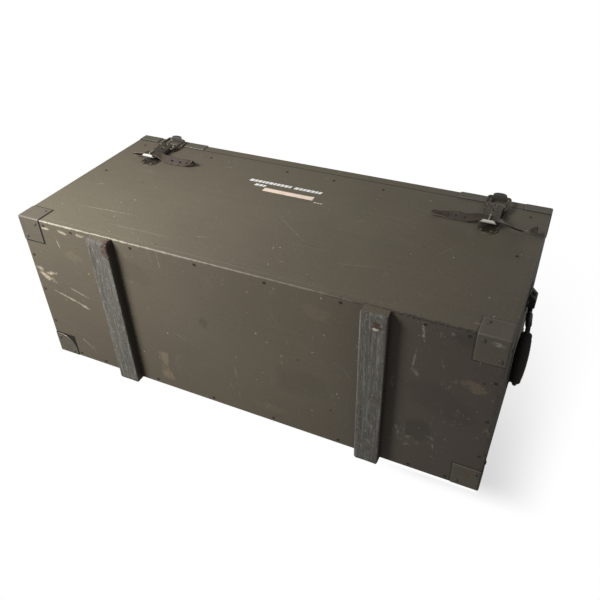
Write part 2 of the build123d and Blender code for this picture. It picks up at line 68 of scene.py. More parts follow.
BOTTOM_LOW, BOTTOM_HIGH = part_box("bottom_panel")
LID_LOW, LID_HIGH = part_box("lid_board")
FRONT, BACK = BOTTOM_LOW.y, BOTTOM_HIGH.y
MIDDLE_Y = (FRONT + BACK) / 2
HALF_DEPTH = (BACK - FRONT) / 2
END = BOTTOM_HIGH.x
UNDERSIDE = BOTTOM_LOW.z
SEAM = LID_LOW.z
TOP = LID_HIGH.z
WALL = BOTTOM_HIGH.z - BOTTOM_LOW.z
SKID_LOW, SKID_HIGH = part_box("skid_right")
SKID_X = (SKID_LOW.x + SKID_HIGH.x) / 2
SKID_HALF = (SKID_HIGH.x - SKID_LOW.x) / 2
BOARDS = ("bottom_panel", "front_panel", "back_panel", "end_panel_left", "end_panel_right", "lid_board")


def scaled(numbers, factor):
    """Every number of a colour or a triple times a factor."""
    return tuple(factor * number for number in numbers)


def pivot_of(joint_name):
    """A joint's pivot at rest."""
    joint = next(j for j in frame["joints"] if j["name"] == joint_name)
    return Vector(joint["pos_m"])


# ---------------------------------------------------------------- settings
def colour(name, description, default):
    return FloatVectorProperty(name=name, description=description, default=default,
                               subtype="COLOR", size=3, min=0.0, max=1.0)


def size(name, description, default):
    return FloatProperty(name=name, description=description, default=default, min=0.0,
                         subtype="DISTANCE", unit="LENGTH", precision=5)


class FootlockerPaint(bpy.types.PropertyGroup):
    """Colours of the painted boards."""

    olive: colour("Olive", "Main coat on the boards", (0.121, 0.104, 0.073))
    umber: colour("Umber", "Browner drifts in the coat", (0.104, 0.085, 0.061))
    green: colour("Green", "Greener drifts in the coat", (0.102, 0.096, 0.066))
    cream: colour("Cream", "Old undercoat where the paint has worn through", (0.50, 0.42, 0.31))
    bare: colour("Bare wood", "Wood inside and under the paint", (0.36, 0.25, 0.145))
    dirt: colour("Dirt", "Dirt in seams and dents", (0.022, 0.019, 0.016))


class FootlockerMetal(bpy.types.PropertyGroup):
    """Colours and sizes of the steel fittings."""

    coat: colour("Coat", "Paint on the corner steel", (0.112, 0.098, 0.074))
    worn: colour("Worn steel", "Rubbed edges of the steel", (0.34, 0.32, 0.28))
    rust: colour("Rust", "Rust patches", (0.115, 0.060, 0.032))
    latch: colour("Latch", "Dull plating on the latches", (0.125, 0.108, 0.088))
    brass: colour("Rubbed plating", "Rubbed edges of the latches", (0.52, 0.45, 0.33))
    black: colour("Black", "Handle enamel", (0.020, 0.019, 0.018))
    bend: size("Corner bend", "Outer bend radius of the corner protectors", 2.8 * MM)
    wire: size("Bail wire", "Radius of the latch bail", 2.6 * MM)
    rod: size("Handle rod", "Radius of the handles' rods", 4.0 * MM)
    arm: size("Handle arm", "Radius of the sleeves on the handles' arms", 5.4 * MM)
    staple: size("Staple wire", "Radius of the strap loop on each lever", 1.25 * MM)


class FootlockerWood(bpy.types.PropertyGroup):
    """Colours and wear of the skids."""

    grey: colour("Weathered wood", "Bare worn skid wood", (0.112, 0.105, 0.090))
    pale: colour("Pale grain", "Raised pale grain lines", (0.31, 0.30, 0.27))
    deep: colour("Deep grain", "Dirt in the grain", (0.040, 0.036, 0.031))
    edge_wear: size("Edge wear", "How far the skid edges have worn round", 2.4 * MM)
    grooves: size("Grooves", "Depth of the open grain", 0.55 * MM)


class FootlockerLeather(bpy.types.PropertyGroup):
    """Colours and sizes of the straps and grips."""

    strap: colour("Strap", "Brown strap leather", (0.043, 0.031, 0.022))
    strap_edge: colour("Strap edge", "Rubbed strap edges", (0.13, 0.105, 0.078))
    grip: colour("Grip", "Dark grip leather", (0.024, 0.020, 0.017))
    thread: colour("Thread", "Stitching on the grips", (0.16, 0.13, 0.09))
    strap_width: size("Strap width", "Width of the latch straps", 16 * MM)
    strap_thick: size("Strap thickness", "Thickness of the latch straps", 2.2 * MM)
    stitches: IntProperty(name="Stitches", description="Stitches along each grip seam", default=19, min=3)


class FootlockerStage(bpy.types.PropertyGroup):
    """Floor, light and camera."""

    floor: colour("Floor", "Pale floor", (0.86, 0.86, 0.85))
    fill: FloatProperty(name="Fill", description="Strength of the even light", default=0.22, min=0)
    key: FloatProperty(name="Key", description="Power of the soft light at the front left",
                       default=11.0, min=0, subtype="POWER", unit="POWER")
    overhead: FloatProperty(name="Overhead", description="Power of the light above the lid",
                            default=20.0, min=0, subtype="POWER", unit="POWER")
    back: FloatProperty(name="Back", description="Power of the light behind", default=30.0, min=0,
                        subtype="POWER", unit="POWER")
    lens: FloatProperty(name="Lens", description="Focal length in millimetres", default=38.24,
                        min=1, subtype="DISTANCE_CAMERA", unit="CAMERA")


GROUPS = {
    "footlocker_paint": FootlockerPaint,
    "footlocker_metal": FootlockerMetal,
    "footlocker_wood": FootlockerWood,
    "footlocker_leather": FootlockerLeather,
    "footlocker_stage": FootlockerStage,
}


# ---------------------------------------------------------------- shader maths
class Value:
    """A shader socket that takes part in arithmetic. Each operation adds one Math node."""

    def __init__(self, finish, socket):
        self.finish = finish
        self.socket = socket

    def math(self, operation, *others):
        return self.finish.math(operation, self, *others)

    def __add__(self, other):
        return self.math("ADD", other)

    def __sub__(self, other):
        return self.math("SUBTRACT", other)

    def __rsub__(self, other):
        return self.finish.math("SUBTRACT", other, self)

    def __mul__(self, other):
        return self.math("MULTIPLY", other)

    def __truediv__(self, other):
        return self.math("DIVIDE", other)

    def __pow__(self, other):
        return self.math("POWER", other)

    def __abs__(self):
        return self.math("ABSOLUTE")

    __radd__ = __add__
    __rmul__ = __mul__

    def least(self, other):
        return self.math("MINIMUM", other)

    def most(self, other):
        return self.math("MAXIMUM", other)

    def step(self, low, high):
        """0 below low, 1 above high and smooth between. low may be the higher one."""
        settings = {"interpolation_type": "SMOOTHSTEP", "clamp": True}
        if low <= high:
            return self.finish.node("ShaderNodeMapRange", settings, {0: self, 1: low, 2: high})
        return 1 - self.finish.node("ShaderNodeMapRange", settings, {0: self, 1: high, 2: low})


class Finish:
    """One procedural material and the ways to add nodes to it."""

    def __init__(self, name):
        self.material = bpy.data.materials.new(name)
        self.material.use_nodes = True
        self.tree = self.material.node_tree
        self.tree.nodes.clear()
        self.place = self.node("ShaderNodeTexCoord", output=3)
        self.x, self.y, self.z = (self.node("ShaderNodeSeparateXYZ", sockets={0: self.place}, output=i)
                                  for i in range(3))

    def node(self, kind, settings=None, sockets=None, output=0):
        made = self.tree.nodes.new(kind)
        for key, value in (settings or {}).items():
            setattr(made, key, value)
        for key, value in (sockets or {}).items():
            if isinstance(value, Value):
                self.tree.links.new(value.socket, made.inputs[key])
            else:
                made.inputs[key].default_value = value
        return Value(self, made.outputs[output])

    def math(self, operation, *terms):
        return self.node("ShaderNodeMath", {"operation": operation}, dict(enumerate(terms)))

    def mix(self, factor, first, second):
        """Colours mixed by a factor."""
        first, second = (self.rgba(c) for c in (first, second))
        return self.node("ShaderNodeMix", {"data_type": "RGBA"}, {0: factor, 6: first, 7: second}, output=2)

    def layers(self, base, *coats):
        """A base colour under coats of (factor, colour)."""
        for factor, shade in coats:
            base = self.mix(factor, base, shade)
        return base

    @staticmethod
    def rgba(shade):
        return shade if isinstance(shade, Value) else (*shade[:3], 1.0)

    def stretched(self, factors, shift=(0, 0, 0)):
        """The position scaled by three factors, then shifted."""
        return self.node("ShaderNodeVectorMath", {"operation": "MULTIPLY_ADD"},
                         {0: self.place, 1: factors, 2: shift})

    def noise(self, scale, detail=4.0, roughness=0.55, distortion=0.0, vector=None):
        sockets = {"Vector": vector or self.place, "Scale": scale, "Detail": detail,
                   "Roughness": roughness, "Distortion": distortion}
        return self.node("ShaderNodeTexNoise", None, sockets)

    def cells(self, scale, vector=None):
        return self.node("ShaderNodeTexVoronoi", None, {"Vector": vector or self.place, "Scale": scale})

    def rubbed(self, radius):
        """How sharp the shape is here: 1 on outer edges and 0 on flats."""
        smooth = self.node("ShaderNodeBevel", {"samples": 6}, {"Radius": radius})
        true = self.node("ShaderNodeNewGeometry", output=1)
        along = self.node("ShaderNodeVectorMath", {"operation": "DOT_PRODUCT"}, {0: smooth, 1: true},
                          output=1)
        return ((1 - along) * 4).least(1)

    def attribute(self, name):
        return self.node("ShaderNodeAttribute", {"attribute_name": name}, output=2)

    def surface(self, base, roughness, height, depth, metallic=0.0, specular=0.5):
        """The material's shader. depth is how far height 1 stands above height 0."""
        bump = self.node("ShaderNodeBump", None, {"Distance": depth, "Height": height})
        sockets = {"Base Color": self.rgba(base), "Roughness": roughness, "Metallic": metallic,
                   "Specular IOR Level": specular, "Normal": bump}
        shader = self.node("ShaderNodeBsdfPrincipled", None, sockets)
        target = self.tree.nodes.new("ShaderNodeOutputMaterial")
        self.tree.links.new(shader.socket, target.inputs["Surface"])
        return self.material


# ---------------------------------------------------------------- finishes
def away_from_edge(f):
    """Distance from the chest's nearest long edge, over its outer faces."""
    from_end = abs(abs(f.x) - END)
    from_face = abs(abs(f.y - MIDDLE_Y) - HALF_DEPTH)
    from_level = abs(f.z - UNDERSIDE).least(abs(f.z - TOP))
    least = from_end.least(from_face)
    most = from_end.most(from_face)
    return least.most(most.least(from_level))


def beside_protectors(f):
    """Distance outside the corner protectors, over the boards."""
    low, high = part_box("base_corner_front_right")
    lid_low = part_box("lid_corner_front_right")[0]
    from_end = (low.x - abs(f.x)).most(0)
    from_face = (abs(f.y - MIDDLE_Y) * -1 + (MIDDLE_Y - high.y)).most(0)
    above_base = (f.z - high.z).most(0)
    below_lid = (lid_low.z - f.z).most(0)
    return from_end.most(from_face).most(above_base.least(below_lid))


def inside(f):
    """1 on the chest's inner faces and the lid's underside."""
    slack = 0.4 * MM
    return ((END - WALL + slack) - abs(f.x)).step(0, slack) \
        * ((HALF_DEPTH - WALL + slack) - abs(f.y - MIDDLE_Y)).step(0, slack) \
        * (f.z - (UNDERSIDE + WALL - slack)).step(0, slack) \
        * ((SEAM + slack) - f.z).step(0, slack)


def patch(across, along, at, half, ragged, warp, turn=0.0):
    """A ragged oval mark on a level or upright face. at and half are in metres, turn in degrees."""
    a, b = across - at[0], along - at[1]
    c, s = math.cos(math.radians(turn)), math.sin(math.radians(turn))
    u, v = (a * c + b * s) / half[0], (b * c - a * s) / half[1]
    reach = (u * u + v * v) ** 0.5 + (warp - 0.5) * ragged
    return reach.step(1.05, 0.45)


# Marks on the underside: x, distance behind the front edge, half length, half width, turn, strength
CREAM_CHIPS = (
    (-418, 127, 24, 7, 20, 0.95), (-402, 118, 14, 5, -10, 0.8), (-428, 112, 10, 5, 0, 0.7),
    (-372, 168, 36, 2.2, 16, 0.75), (-346, 146, 22, 1.8, 18, 0.6), (-345, 176, 20, 3, 20, 0.7),
    (-360, 40, 12, 1.5, 80, 0.55), (-342, 14, 12, 4, 10, 0.9), (-384, 14, 14, 3, 0, 0.85),
    (-300, 11, 10, 3, 0, 0.6), (-358, 280, 18, 2, 40, 0.35),
)
PALE_SCUFFS = (
    (320, 22, 22, 2.4, 82, 0.55), (311, 80, 26, 2.0, 96, 0.40), (316, 104, 9, 4, 60, 0.35),
    (-7, 228, 16, 1.2, 85, 0.35), (-4, 284, 14, 1.0, 88, 0.30), (-19, 266, 9, 1.0, 80, 0.3),
    (348, 235, 9, 1.6, 10, 0.45), (376, 229, 6, 1.4, 30, 0.4), (404, 168, 3, 1.6, 0, 0.5),
    (368, 190, 3, 1.6, 0, 0.5), (-137, 22, 24, 1.0, 84, 0.3), (205, 150, 14, 1.0, 60, 0.25),
    (100, 120, 12, 1.0, 75, 0.22), (-120, 180, 14, 1.2, 20, 0.25),
)
TAN_STAINS = (
    (-166, 250, 12, 26, 5, 0.75), (-163, 292, 14, 20, -8, 0.70), (406, 100, 24, 12, 20, 0.45),
    (-330, 62, 24, 18, 0, 0.25), (60, 290, 34, 12, 0, 0.2), (150, 40, 30, 16, 10, 0.18),
)
DARK_STAINS = (
    (330, 226, 30, 26, 10, 0.5), (385, 20, 40, 14, 0, 0.45), (-62, 132, 9, 13, 0, 0.4),
    (-200, 60, 40, 26, 20, 0.25), (120, 200, 60, 40, 0, 0.2), (360, 150, 60, 40, 20, 0.3),
)
# Marks on the front: x, height above the underside, half length, half width, turn, strength
FRONT_SCRATCHES = (
    (-300, 79, 62, 1.0, 4, 0.55), (-205, 42, 90, 0.9, 1, 0.35), (40, 150, 60, 0.9, -38, 0.30),
    (190, 90, 44, 0.9, 12, 0.30), (-120, 190, 40, 0.8, 30, 0.22), (300, 180, 30, 1.0, 60, 0.30),
    (-330, 240, 26, 1.0, 10, 0.3), (230, 300, 30, 0.8, -20, 0.25), (396, 20, 12, 2.4, 0, 0.6),
    (-90, 66, 12, 1.1, 10, 0.4), (70, 52, 9, 1.2, -5, 0.4), (-380, 160, 10, 1.5, 30, 0.45),
    (140, 220, 14, 1.0, 45, 0.35), (-180, 320, 12, 1.2, 15, 0.4), (20, 350, 10, 1.2, 0, 0.35),
)


def marks(f, table, along, face, ragged, warp):
    """All marks of one table joined into one mask on one face."""
    total = 0.0
    for x, out, half_long, half_wide, turn, strength in table:
        shape = patch(f.x, along, (x * MM, out * MM), (half_long * MM, half_wide * MM),
                      ragged, warp, turn)
        total = shape * strength if total == 0.0 else total.most(shape * strength)
    return total * face


def board_paint(grain):
    """Brushed olive paint over boards, worn to cream and bare wood. grain is 'x' or 'y'."""
    paint = bpy.context.scene.footlocker_paint
    f = Finish(f"olive_paint_{grain}")
    along_grain = {"x": (5, 150, 150), "y": (150, 5, 150)}[grain]
    drift = f.noise(3.2, 3)
    patches = f.noise(16, 6, 0.68, 0.4)
    grain_lines = f.noise(1.0, 5, 0.6, 0.3, f.stretched(along_grain))
    brush = f.noise(1.0, 3, 0.5, 0.0, f.stretched(scaled(along_grain, 4), (3, 1, 7)))
    specks = f.noise(330, 2, 0.6)
    warp = f.noise(70, 5, 0.7)
    fine_warp = f.noise(210, 4, 0.7)
    broken = f.noise(300, 3, 0.7).step(0.36, 0.58)

    edge = away_from_edge(f)
    # paler line along the front's bottom edge, strongest at the left: worn paint and a painted highlight
    below_front = f.node("ShaderNodeMapRange", {"clamp": True},
                         {0: f.x, 1: -0.30, 2: 0.06, 3: 1.0, 4: 0.12})
    front_foot = abs(f.y - FRONT).most(abs(f.z - UNDERSIDE))
    foot_wear_and_highlight = (front_foot + (warp - 0.5) * 7 * MM).step(3.0 * MM, 0.6 * MM) * below_front
    foot_wear_and_highlight = foot_wear_and_highlight * (broken * 0.55 + 0.35)
    edge_wear = (edge + (warp - 0.5) * 6 * MM).step(1.7 * MM, 0.2 * MM) * 0.5
    # painted shadow: a dark band on the boards just outside the corner protectors, as if cast by their
    # raised edges, weaker towards the right
    gap = beside_protectors(f).step(4.0 * MM, 2.0 * MM) * (1 - f.x.step(-0.2, 0.3) * 0.6)
    foot_dark = (front_foot + (fine_warp - 0.5) * 14 * MM).step(4.0 * MM, 1.0 * MM) * f.x.step(0.10, 0.28)

    on_bottom = f.z.step(UNDERSIDE + 1.2 * MM, UNDERSIDE + 0.2 * MM)
    on_front = f.y.step(FRONT + 1.2 * MM, FRONT + 0.2 * MM)
    behind = f.y - FRONT
    above = f.z - UNDERSIDE
    cream = marks(f, CREAM_CHIPS, behind, on_bottom, 3.2, warp) * (broken * 0.6 + 0.35)
    scuffs = marks(f, PALE_SCUFFS, behind, on_bottom, 2.6, fine_warp) * (broken * 0.7 + 0.2)
    tan = marks(f, TAN_STAINS, behind, on_bottom, 3.0, warp) * (broken * 0.5 + 0.35)
    dark = marks(f, DARK_STAINS, behind, on_bottom, 2.0, patches)
    scratches = marks(f, FRONT_SCRATCHES, above, on_front, 2.2, fine_warp) * (broken * 0.6 + 0.25)
    seam = abs(f.z - SEAM).step(1.6 * MM, 0.5 * MM)
    # painted shade: the right part of the underside is darkened where less light falls; the same mask also
    # gathers pale specks and scrapes there
    shadowed = f.x.step(0.12, 0.36) * on_bottom
    flecks = f.cells(46).step(0.080, 0.045) * patches.step(0.50, 0.60)
    chips = f.cells(115, f.stretched((1, 0.7, 1), (2.3, 4.4, 0.9))).step(0.13, 0.07) * warp.step(0.54, 0.62)
    scrapes = f.noise(1.0, 6, 0.78, 0.8, f.stretched((46, 17, 46), (6, 2, 5))).step(0.58, 0.66) * broken
    pits = f.cells(31, f.stretched((1, 1, 1), (5.2, 1.7, 3.1))).step(0.10, 0.06) * warp.step(0.54, 0.64)
    bare_inside = inside(f)
    rings = f.noise(1.0, 4, 0.6, 1.2, f.stretched(scaled(along_grain, 0.35), (1, 2, 3)))

    coat = f.layers(
        paint.olive,
        (drift.step(0.35, 0.70) * 0.8, paint.umber),
        (patches.step(0.50, 0.74) * 0.55, paint.green),
        (grain_lines.step(0.60, 0.82) * 0.05, paint.cream),
        (grain_lines.step(0.44, 0.24) * 0.14, paint.dirt),
        (specks.step(0.60, 0.76) * 0.20, paint.cream),
        (specks.step(0.42, 0.28) * 0.25, paint.dirt),
        (on_bottom * 0.30, paint.umber),
        # painted shade over the right part of the underside
        (shadowed * 0.55, (0.064, 0.050, 0.046)),
        (specks.step(0.60, 0.70) * patches.step(0.52, 0.62) * shadowed * 0.35, (0.32, 0.30, 0.28)),
        (scrapes * (shadowed * 0.5 + 0.09), (0.30, 0.28, 0.25)),
        (dark * 0.6, paint.dirt),
        (tan, (0.24, 0.185, 0.115)),
        (scuffs.most(scratches) * 0.95, (0.38, 0.36, 0.32)),
        (flecks.most(chips * 0.7) * 0.75, paint.cream),
        (pits * 0.8, paint.dirt),
        (edge_wear, (0.25, 0.225, 0.175)),
        # worn paint and painted highlight along the front's bottom edge
        (foot_wear_and_highlight, (0.46, 0.43, 0.36)),
        (cream, paint.cream),
        (foot_dark * 0.8, paint.dirt),
        (seam, paint.dirt),
        # painted shadow beside the corner protectors
        (gap * 0.9, (0.006, 0.005, 0.004)),
    )
    wood = f.mix(rings.step(0.35, 0.65), paint.bare, scaled(paint.bare, 0.66))
    base = f.mix(bare_inside, coat, wood)
    gloss = 0.60 + patches * 0.16 + scuffs * 0.2 + cream * 0.3 - brush * 0.08
    height = grain_lines * 0.18 + brush * 0.12 + specks * 0.16 + patches * 0.35 \
        - pits * 0.6 - cream.most(foot_wear_and_highlight) * 0.7 - scratches * 0.4
    return f.surface(base, gloss, height, 0.45 * MM, specular=0.42)


def skid_wood():
    wood = bpy.context.scene.footlocker_wood
    paint = bpy.context.scene.footlocker_paint
    f = Finish("worn_skid_wood")
    streaks = f.noise(1.0, 6, 0.62, 0.25, f.stretched((230, 7, 230)))
    fibres = f.noise(1.0, 5, 0.7, 0.3, f.stretched((620, 48, 620), (1, 3, 5)))
    broad = f.noise(1.0, 4, 0.55, 0.4, f.stretched((70, 5, 70), (2, 4, 1)))
    blotch = f.noise(26, 5, 0.65)
    dents = f.noise(140, 4, 0.7)
    underside = f.z.step(6 * MM, 1.5 * MM)
    left = f.x.step(0.10, -0.10)
    behind = f.y - FRONT
    spot_left = patch(f.x + SKID_X, behind, (17 * MM, 14 * MM), (8 * MM, 22 * MM), 3.0, dents)
    spot_right = patch(f.x - SKID_X, behind, (6 * MM, 20 * MM), (11 * MM, 9 * MM), 3.0, dents)
    chip = patch(f.x - SKID_X, behind, (4 * MM, 27 * MM), (6 * MM, 3 * MM), 2.4, dents)
    across = abs(abs(f.x) - SKID_X)
    # painted shade: the skids' sides are darkened
    shaded_flank = across.step(SKID_HALF - 0.9 * MM, SKID_HALF - 0.1 * MM)
    worn = (underside * 0.75 + blotch * 0.5 + left * 0.35 - 0.30).step(0.25, 0.75)
    shoulder = (across - (SKID_HALF - 3 * MM) + (dents - 0.5) * 5 * MM).step(0, 3 * MM)
    shoulder = shoulder * f.z.step(8 * MM, 3 * MM)
    base = f.layers(
        f.mix(blotch, paint.olive, paint.umber),
        (worn, wood.grey),
        (streaks.step(0.52, 0.70) * (worn * 0.32 + 0.05), wood.pale),
        (fibres.step(0.54, 0.68) * (worn * 0.70 + 0.08), wood.pale),
        (dents.step(0.57, 0.68) * worn * 0.55, wood.pale),
        (fibres.step(0.46, 0.34) * 0.7, wood.deep),
        (broad.step(0.56, 0.74) * worn * 0.25, wood.pale),
        (streaks.step(0.42, 0.26) * 0.75, wood.deep),
        (broad.step(0.40, 0.24) * 0.45, wood.deep),
        (shoulder * 0.5, wood.pale),
        (spot_left.most(spot_right) * 0.75, (0.075, 0.036, 0.023)),
        (chip, (0.50, 0.46, 0.40)),
        # painted shade on the skids' sides
        (shaded_flank * 0.7, wood.deep),
    )
    height = streaks * 0.6 + broad * 0.4 + fibres * 0.5 + dents * 0.2
    return f.surface(base, 0.70 + blotch * 0.2, height, 0.9 * MM, specular=0.25)


def inner_wood():
    paint = bpy.context.scene.footlocker_paint
    f = Finish("bare_batten_wood")
    rings = f.noise(1.0, 5, 0.6, 0.8, f.stretched((60, 60, 12)))
    pores = f.noise(1.0, 3, 0.6, 0.0, f.stretched((500, 420, 60)))
    stain = f.noise(9, 4)
    base = f.layers(
        paint.bare,
        (rings.step(0.38, 0.66), scaled(paint.bare, 0.62)),
        (pores.step(0.60, 0.78) * 0.5, (0.11, 0.075, 0.04)),
        (stain.step(0.5, 0.8) * 0.3, (0.18, 0.15, 0.11)),
    )
    return f.surface(base, 0.66 + pores * 0.2, rings * 0.5 + pores * 0.5, 0.4 * MM, specular=0.3)


def painted_steel():
    """Olive paint on corner steel, rubbed bright on its edges, with rust; the rubbed edges fade towards the
    right as painted shade.
    """
    metal = bpy.context.scene.footlocker_metal
    f = Finish("painted_corner_steel")
    blotch = f.noise(38, 6, 0.66, 0.3)
    fine = f.noise(260, 4, 0.65)
    rust_cloud = f.noise(24, 5, 0.7, 0.6, f.stretched((1, 1, 1), (4.1, 0.7, 2.2)))
    edge = f.rubbed(3.2 * MM)
    # paler rubbed steel on the edges, made fainter towards the right as painted shade
    rubbed = (edge * 1.6 + (blotch - 0.5) * 0.9 - 0.10).step(0.15, 0.65) * (1 - f.x.step(-0.2, 0.3) * 0.45)
    rust = (rust_cloud + (fine - 0.5) * 0.3).step(0.58, 0.70)
    chips = f.noise(95, 5, 0.7, 0.2).step(0.67, 0.72)
    scuff = patch(f.x, f.y - FRONT, (424 * MM, 11 * MM), (11 * MM, 5 * MM), 2.6, fine, 10) \
        * f.z.step(SEAM, UNDERSIDE)
    base = f.layers(
        metal.coat,
        (blotch.step(0.35, 0.75) * 0.5, scaled(metal.coat, 0.72)),
        (rust * 0.8, metal.rust),
        (chips * 0.6, metal.worn),
        (scuff * fine.step(0.40, 0.56) * 0.7, (0.36, 0.35, 0.31)),
        (rubbed, metal.worn),
    )
    bare = rubbed.most(chips) * (1 - rust * 0.7)
    return f.surface(base, 0.56 - bare * 0.16 + rust * 0.25, blotch * 0.4 + fine * 0.25 - rubbed * 0.3,
                     0.35 * MM, metallic=bare * 0.75, specular=0.45)


def plated_steel():
    """Dull latch plating, grimy in the hollows and rubbed brassy on the edges, with a painted highlight on
    the levers' finger lip.
    """
    metal = bpy.context.scene.footlocker_metal
    f = Finish("dull_latch_plating")
    blotch = f.noise(90, 5, 0.65, 0.4)
    fine = f.noise(520, 3, 0.6)
    scuff = f.noise(1.0, 3, 0.6, 0.0, f.stretched((900, 900, 120)))
    edge = f.rubbed(2.0 * MM)
    rubbed = (edge * 1.4 + (blotch - 0.5) * 0.8 + 0.02).step(0.18, 0.7)
    grime = blotch.step(0.52, 0.36)
    finger = UNDERSIDE + LEVER_LOW * MM
    # painted highlight: a pale band along the levers' finger lip, standing in for a glint
    lip = f.z.step(finger + 1.2 * MM, finger - 0.2 * MM) * f.y.step(FRONT - 12 * MM, FRONT - 14 * MM)
    base = f.layers(
        metal.latch,
        (grime * 0.8, (0.050, 0.040, 0.030)),
        (scuff.step(0.6, 0.75) * 0.35, metal.brass),
        (rubbed * 0.9, metal.brass),
        # painted highlight on the levers' finger lip
        (lip * 0.85, (0.72, 0.69, 0.62)),
    )
    return f.surface(base, 0.36 + blotch * 0.2 + grime * 0.2 - rubbed * 0.08, fine * 0.3 + blotch * 0.5,
                     0.2 * MM, metallic=(0.85 - grime * 0.5) * (1 - lip * 0.7), specular=0.5)


def black_enamel():
    metal = bpy.context.scene.footlocker_metal
    f = Finish("black_handle_enamel")
    blotch = f.noise(70, 5, 0.65)
    fine = f.noise(430, 3, 0.6)
    rubbed = (f.rubbed(1.4 * MM) * 1.2 + (blotch - 0.5) * 0.9 - 0.2).step(0.2, 0.7)
    base = f.layers(
        metal.black,
        (blotch.step(0.5, 0.8) * 0.5, (0.045, 0.036, 0.028)),
        (rubbed * 0.6, (0.16, 0.15, 0.14)),
    )
    return f.surface(base, 0.42 + blotch * 0.25, fine * 0.4 + blotch * 0.6, 0.25 * MM,
                     metallic=rubbed * 0.7, specular=0.5)


def fastener_finish(name, shade, rusty):
    """Nail and rivet heads: paint remains, rust and a rubbed crown."""
    metal = bpy.context.scene.footlocker_metal
    f = Finish(name)
    blotch = f.noise(210, 4, 0.7)
    fine = f.noise(900, 3, 0.6)
    base = f.layers(
        shade,
        (blotch.step(0.52, 0.62) * rusty, metal.rust),
        (f.rubbed(0.8 * MM) * 0.45, metal.worn),
    )
    return f.surface(base, 0.5 + blotch * 0.3, fine * 0.3 + blotch * 0.7, 0.15 * MM,
                     metallic=0.3 - blotch * 0.2, specular=0.45)


def leather(name, shade, edge_shade, edge_name):
    """Grained leather, cracked and rubbed paler along its edges."""
    f = Finish(name)
    pebble = f.cells(620)
    crease = f.noise(1.0, 4, 0.6, 0.5, f.stretched((420, 160, 160)))
    wear = f.noise(85, 5, 0.68)
    edge = f.attribute(edge_name)
    rubbed = (edge * 0.9 + (wear - 0.5) * 1.4).step(0.62, 1.0)
    base = f.layers(
        shade,
        (wear.step(0.42, 0.75) * 0.5, scaled(shade, 1.7)),
        (crease.step(0.44, 0.30) * 0.6, scaled(shade, 0.35)),
        (rubbed * 0.85, edge_shade),
    )
    return f.surface(base, 0.50 + wear * 0.25, pebble * 0.5 + crease * 0.5, 0.28 * MM, specular=0.4)


def label_paper():
    f = Finish("aged_label_paper")
    fibre = f.noise(620, 3, 0.6)
    stain = f.noise(60, 5, 0.6)
    edge = f.attribute("edge")
    base = f.layers(
        (0.80, 0.66, 0.55),
        (stain.step(0.45, 0.80) * 0.45, (0.66, 0.50, 0.38)),
        (fibre.step(0.6, 0.8) * 0.25, (0.88, 0.80, 0.72)),
        (edge * stain.step(0.3, 0.6) * 0.5, (0.46, 0.33, 0.24)),
    )
    return f.surface(base, 0.78 + fibre * 0.1, fibre * 0.5 + stain * 0.5, 0.08 * MM, specular=0.3)


def stencil_white():
    f = Finish("stencil_white")
    wear = f.noise(520, 4, 0.7)
    cloud = f.noise(130, 4, 0.6)
    base = f.layers(
        (0.78, 0.78, 0.76),
        (wear.step(0.55, 0.68) * 0.55, (0.30, 0.28, 0.24)),
        (cloud.step(0.5, 0.8) * 0.3, (0.55, 0.54, 0.50)),
    )
    return f.surface(base, 0.62 + wear * 0.1, wear, 0.05 * MM, specular=0.35)


def thread_finish():
    leathers = bpy.context.scene.footlocker_leather
    f = Finish("waxed_thread")
    twist = f.noise(1.0, 3, 0.5, 0.0, f.stretched((1400, 2600, 1400)))
    base = f.mix(twist.step(0.4, 0.7), leathers.thread, scaled(leathers.thread, 0.4))
    return f.surface(base, 0.6 + twist * 0.2, twist, 0.12 * MM, specular=0.35)


FINISHES = {}


def finish(name):
    """A finish by name, made once."""
    leathers = bpy.context.scene.footlocker_leather
    makers = {
        "boards": lambda: board_paint("x"),
        "end_boards": lambda: board_paint("y"),
        "skid": skid_wood,
        "inner_wood": inner_wood,
        "corner_steel": painted_steel,
        "latch": plated_steel,
        "enamel": black_enamel,
        "nail": lambda: fastener_finish("nail_heads", (0.030, 0.026, 0.021), 0.4),
        "rivet": lambda: fastener_finish("painted_rivets", (0.108, 0.094, 0.072), 0.5),
        "pin": lambda: fastener_finish("steel_pins", (0.16, 0.15, 0.135), 0.4),
        "staple": lambda: fastener_finish("bright_staples", (0.34, 0.31, 0.26), 0.3),
        "bail": lambda: fastener_finish("dark_bail_wire", (0.080, 0.065, 0.048), 0.5),
        "hook": lambda: fastener_finish("dark_hooks", (0.050, 0.047, 0.041), 0.3),
        "strap": lambda: leather("strap_leather", leathers.strap, leathers.strap_edge, "edge"),
        "grip": lambda: leather("grip_leather", leathers.grip, (0.07, 0.055, 0.04), "edge"),
        "paper": label_paper,
        "stencil": stencil_white,
        "thread": thread_finish,
    }
    if name not in FINISHES:
        FINISHES[name] = makers[name]()
    return FINISHES[name]


# ---------------------------------------------------------------- mesh tools
def coat_node(node, finish_name, bevel_width, segments=3, angle=35):
    """Keeps a CAD part's shape, breaks its sharp edges and gives it a finish."""
    part = frame["nodes"][node]
    part.data.materials.clear()
    part.data.materials.append(finish(finish_name))
    weld = part.modifiers.new("weld", "WELD")
    weld.merge_threshold = 0.01 * MM
    soften(part, bevel_width, segments, angle)


def soften(piece, width, segments=3, angle=35):
    bevel = piece.modifiers.new("broken_edges", "BEVEL")
    bevel.width = width
    bevel.segments = segments
    bevel.limit_method = "ANGLE"
    bevel.angle_limit = math.radians(angle)
    bevel.harden_normals = True


def thicken(piece, thickness, offset=-1.0):
    solid = piece.modifiers.new("sheet", "SOLIDIFY")
    solid.thickness = thickness
    solid.offset = offset
    solid.use_even_offset = True


def subdivide(piece):
    smooth = piece.modifiers.new("smooth", "SUBSURF")
    smooth.levels = 2
    smooth.render_levels = 2


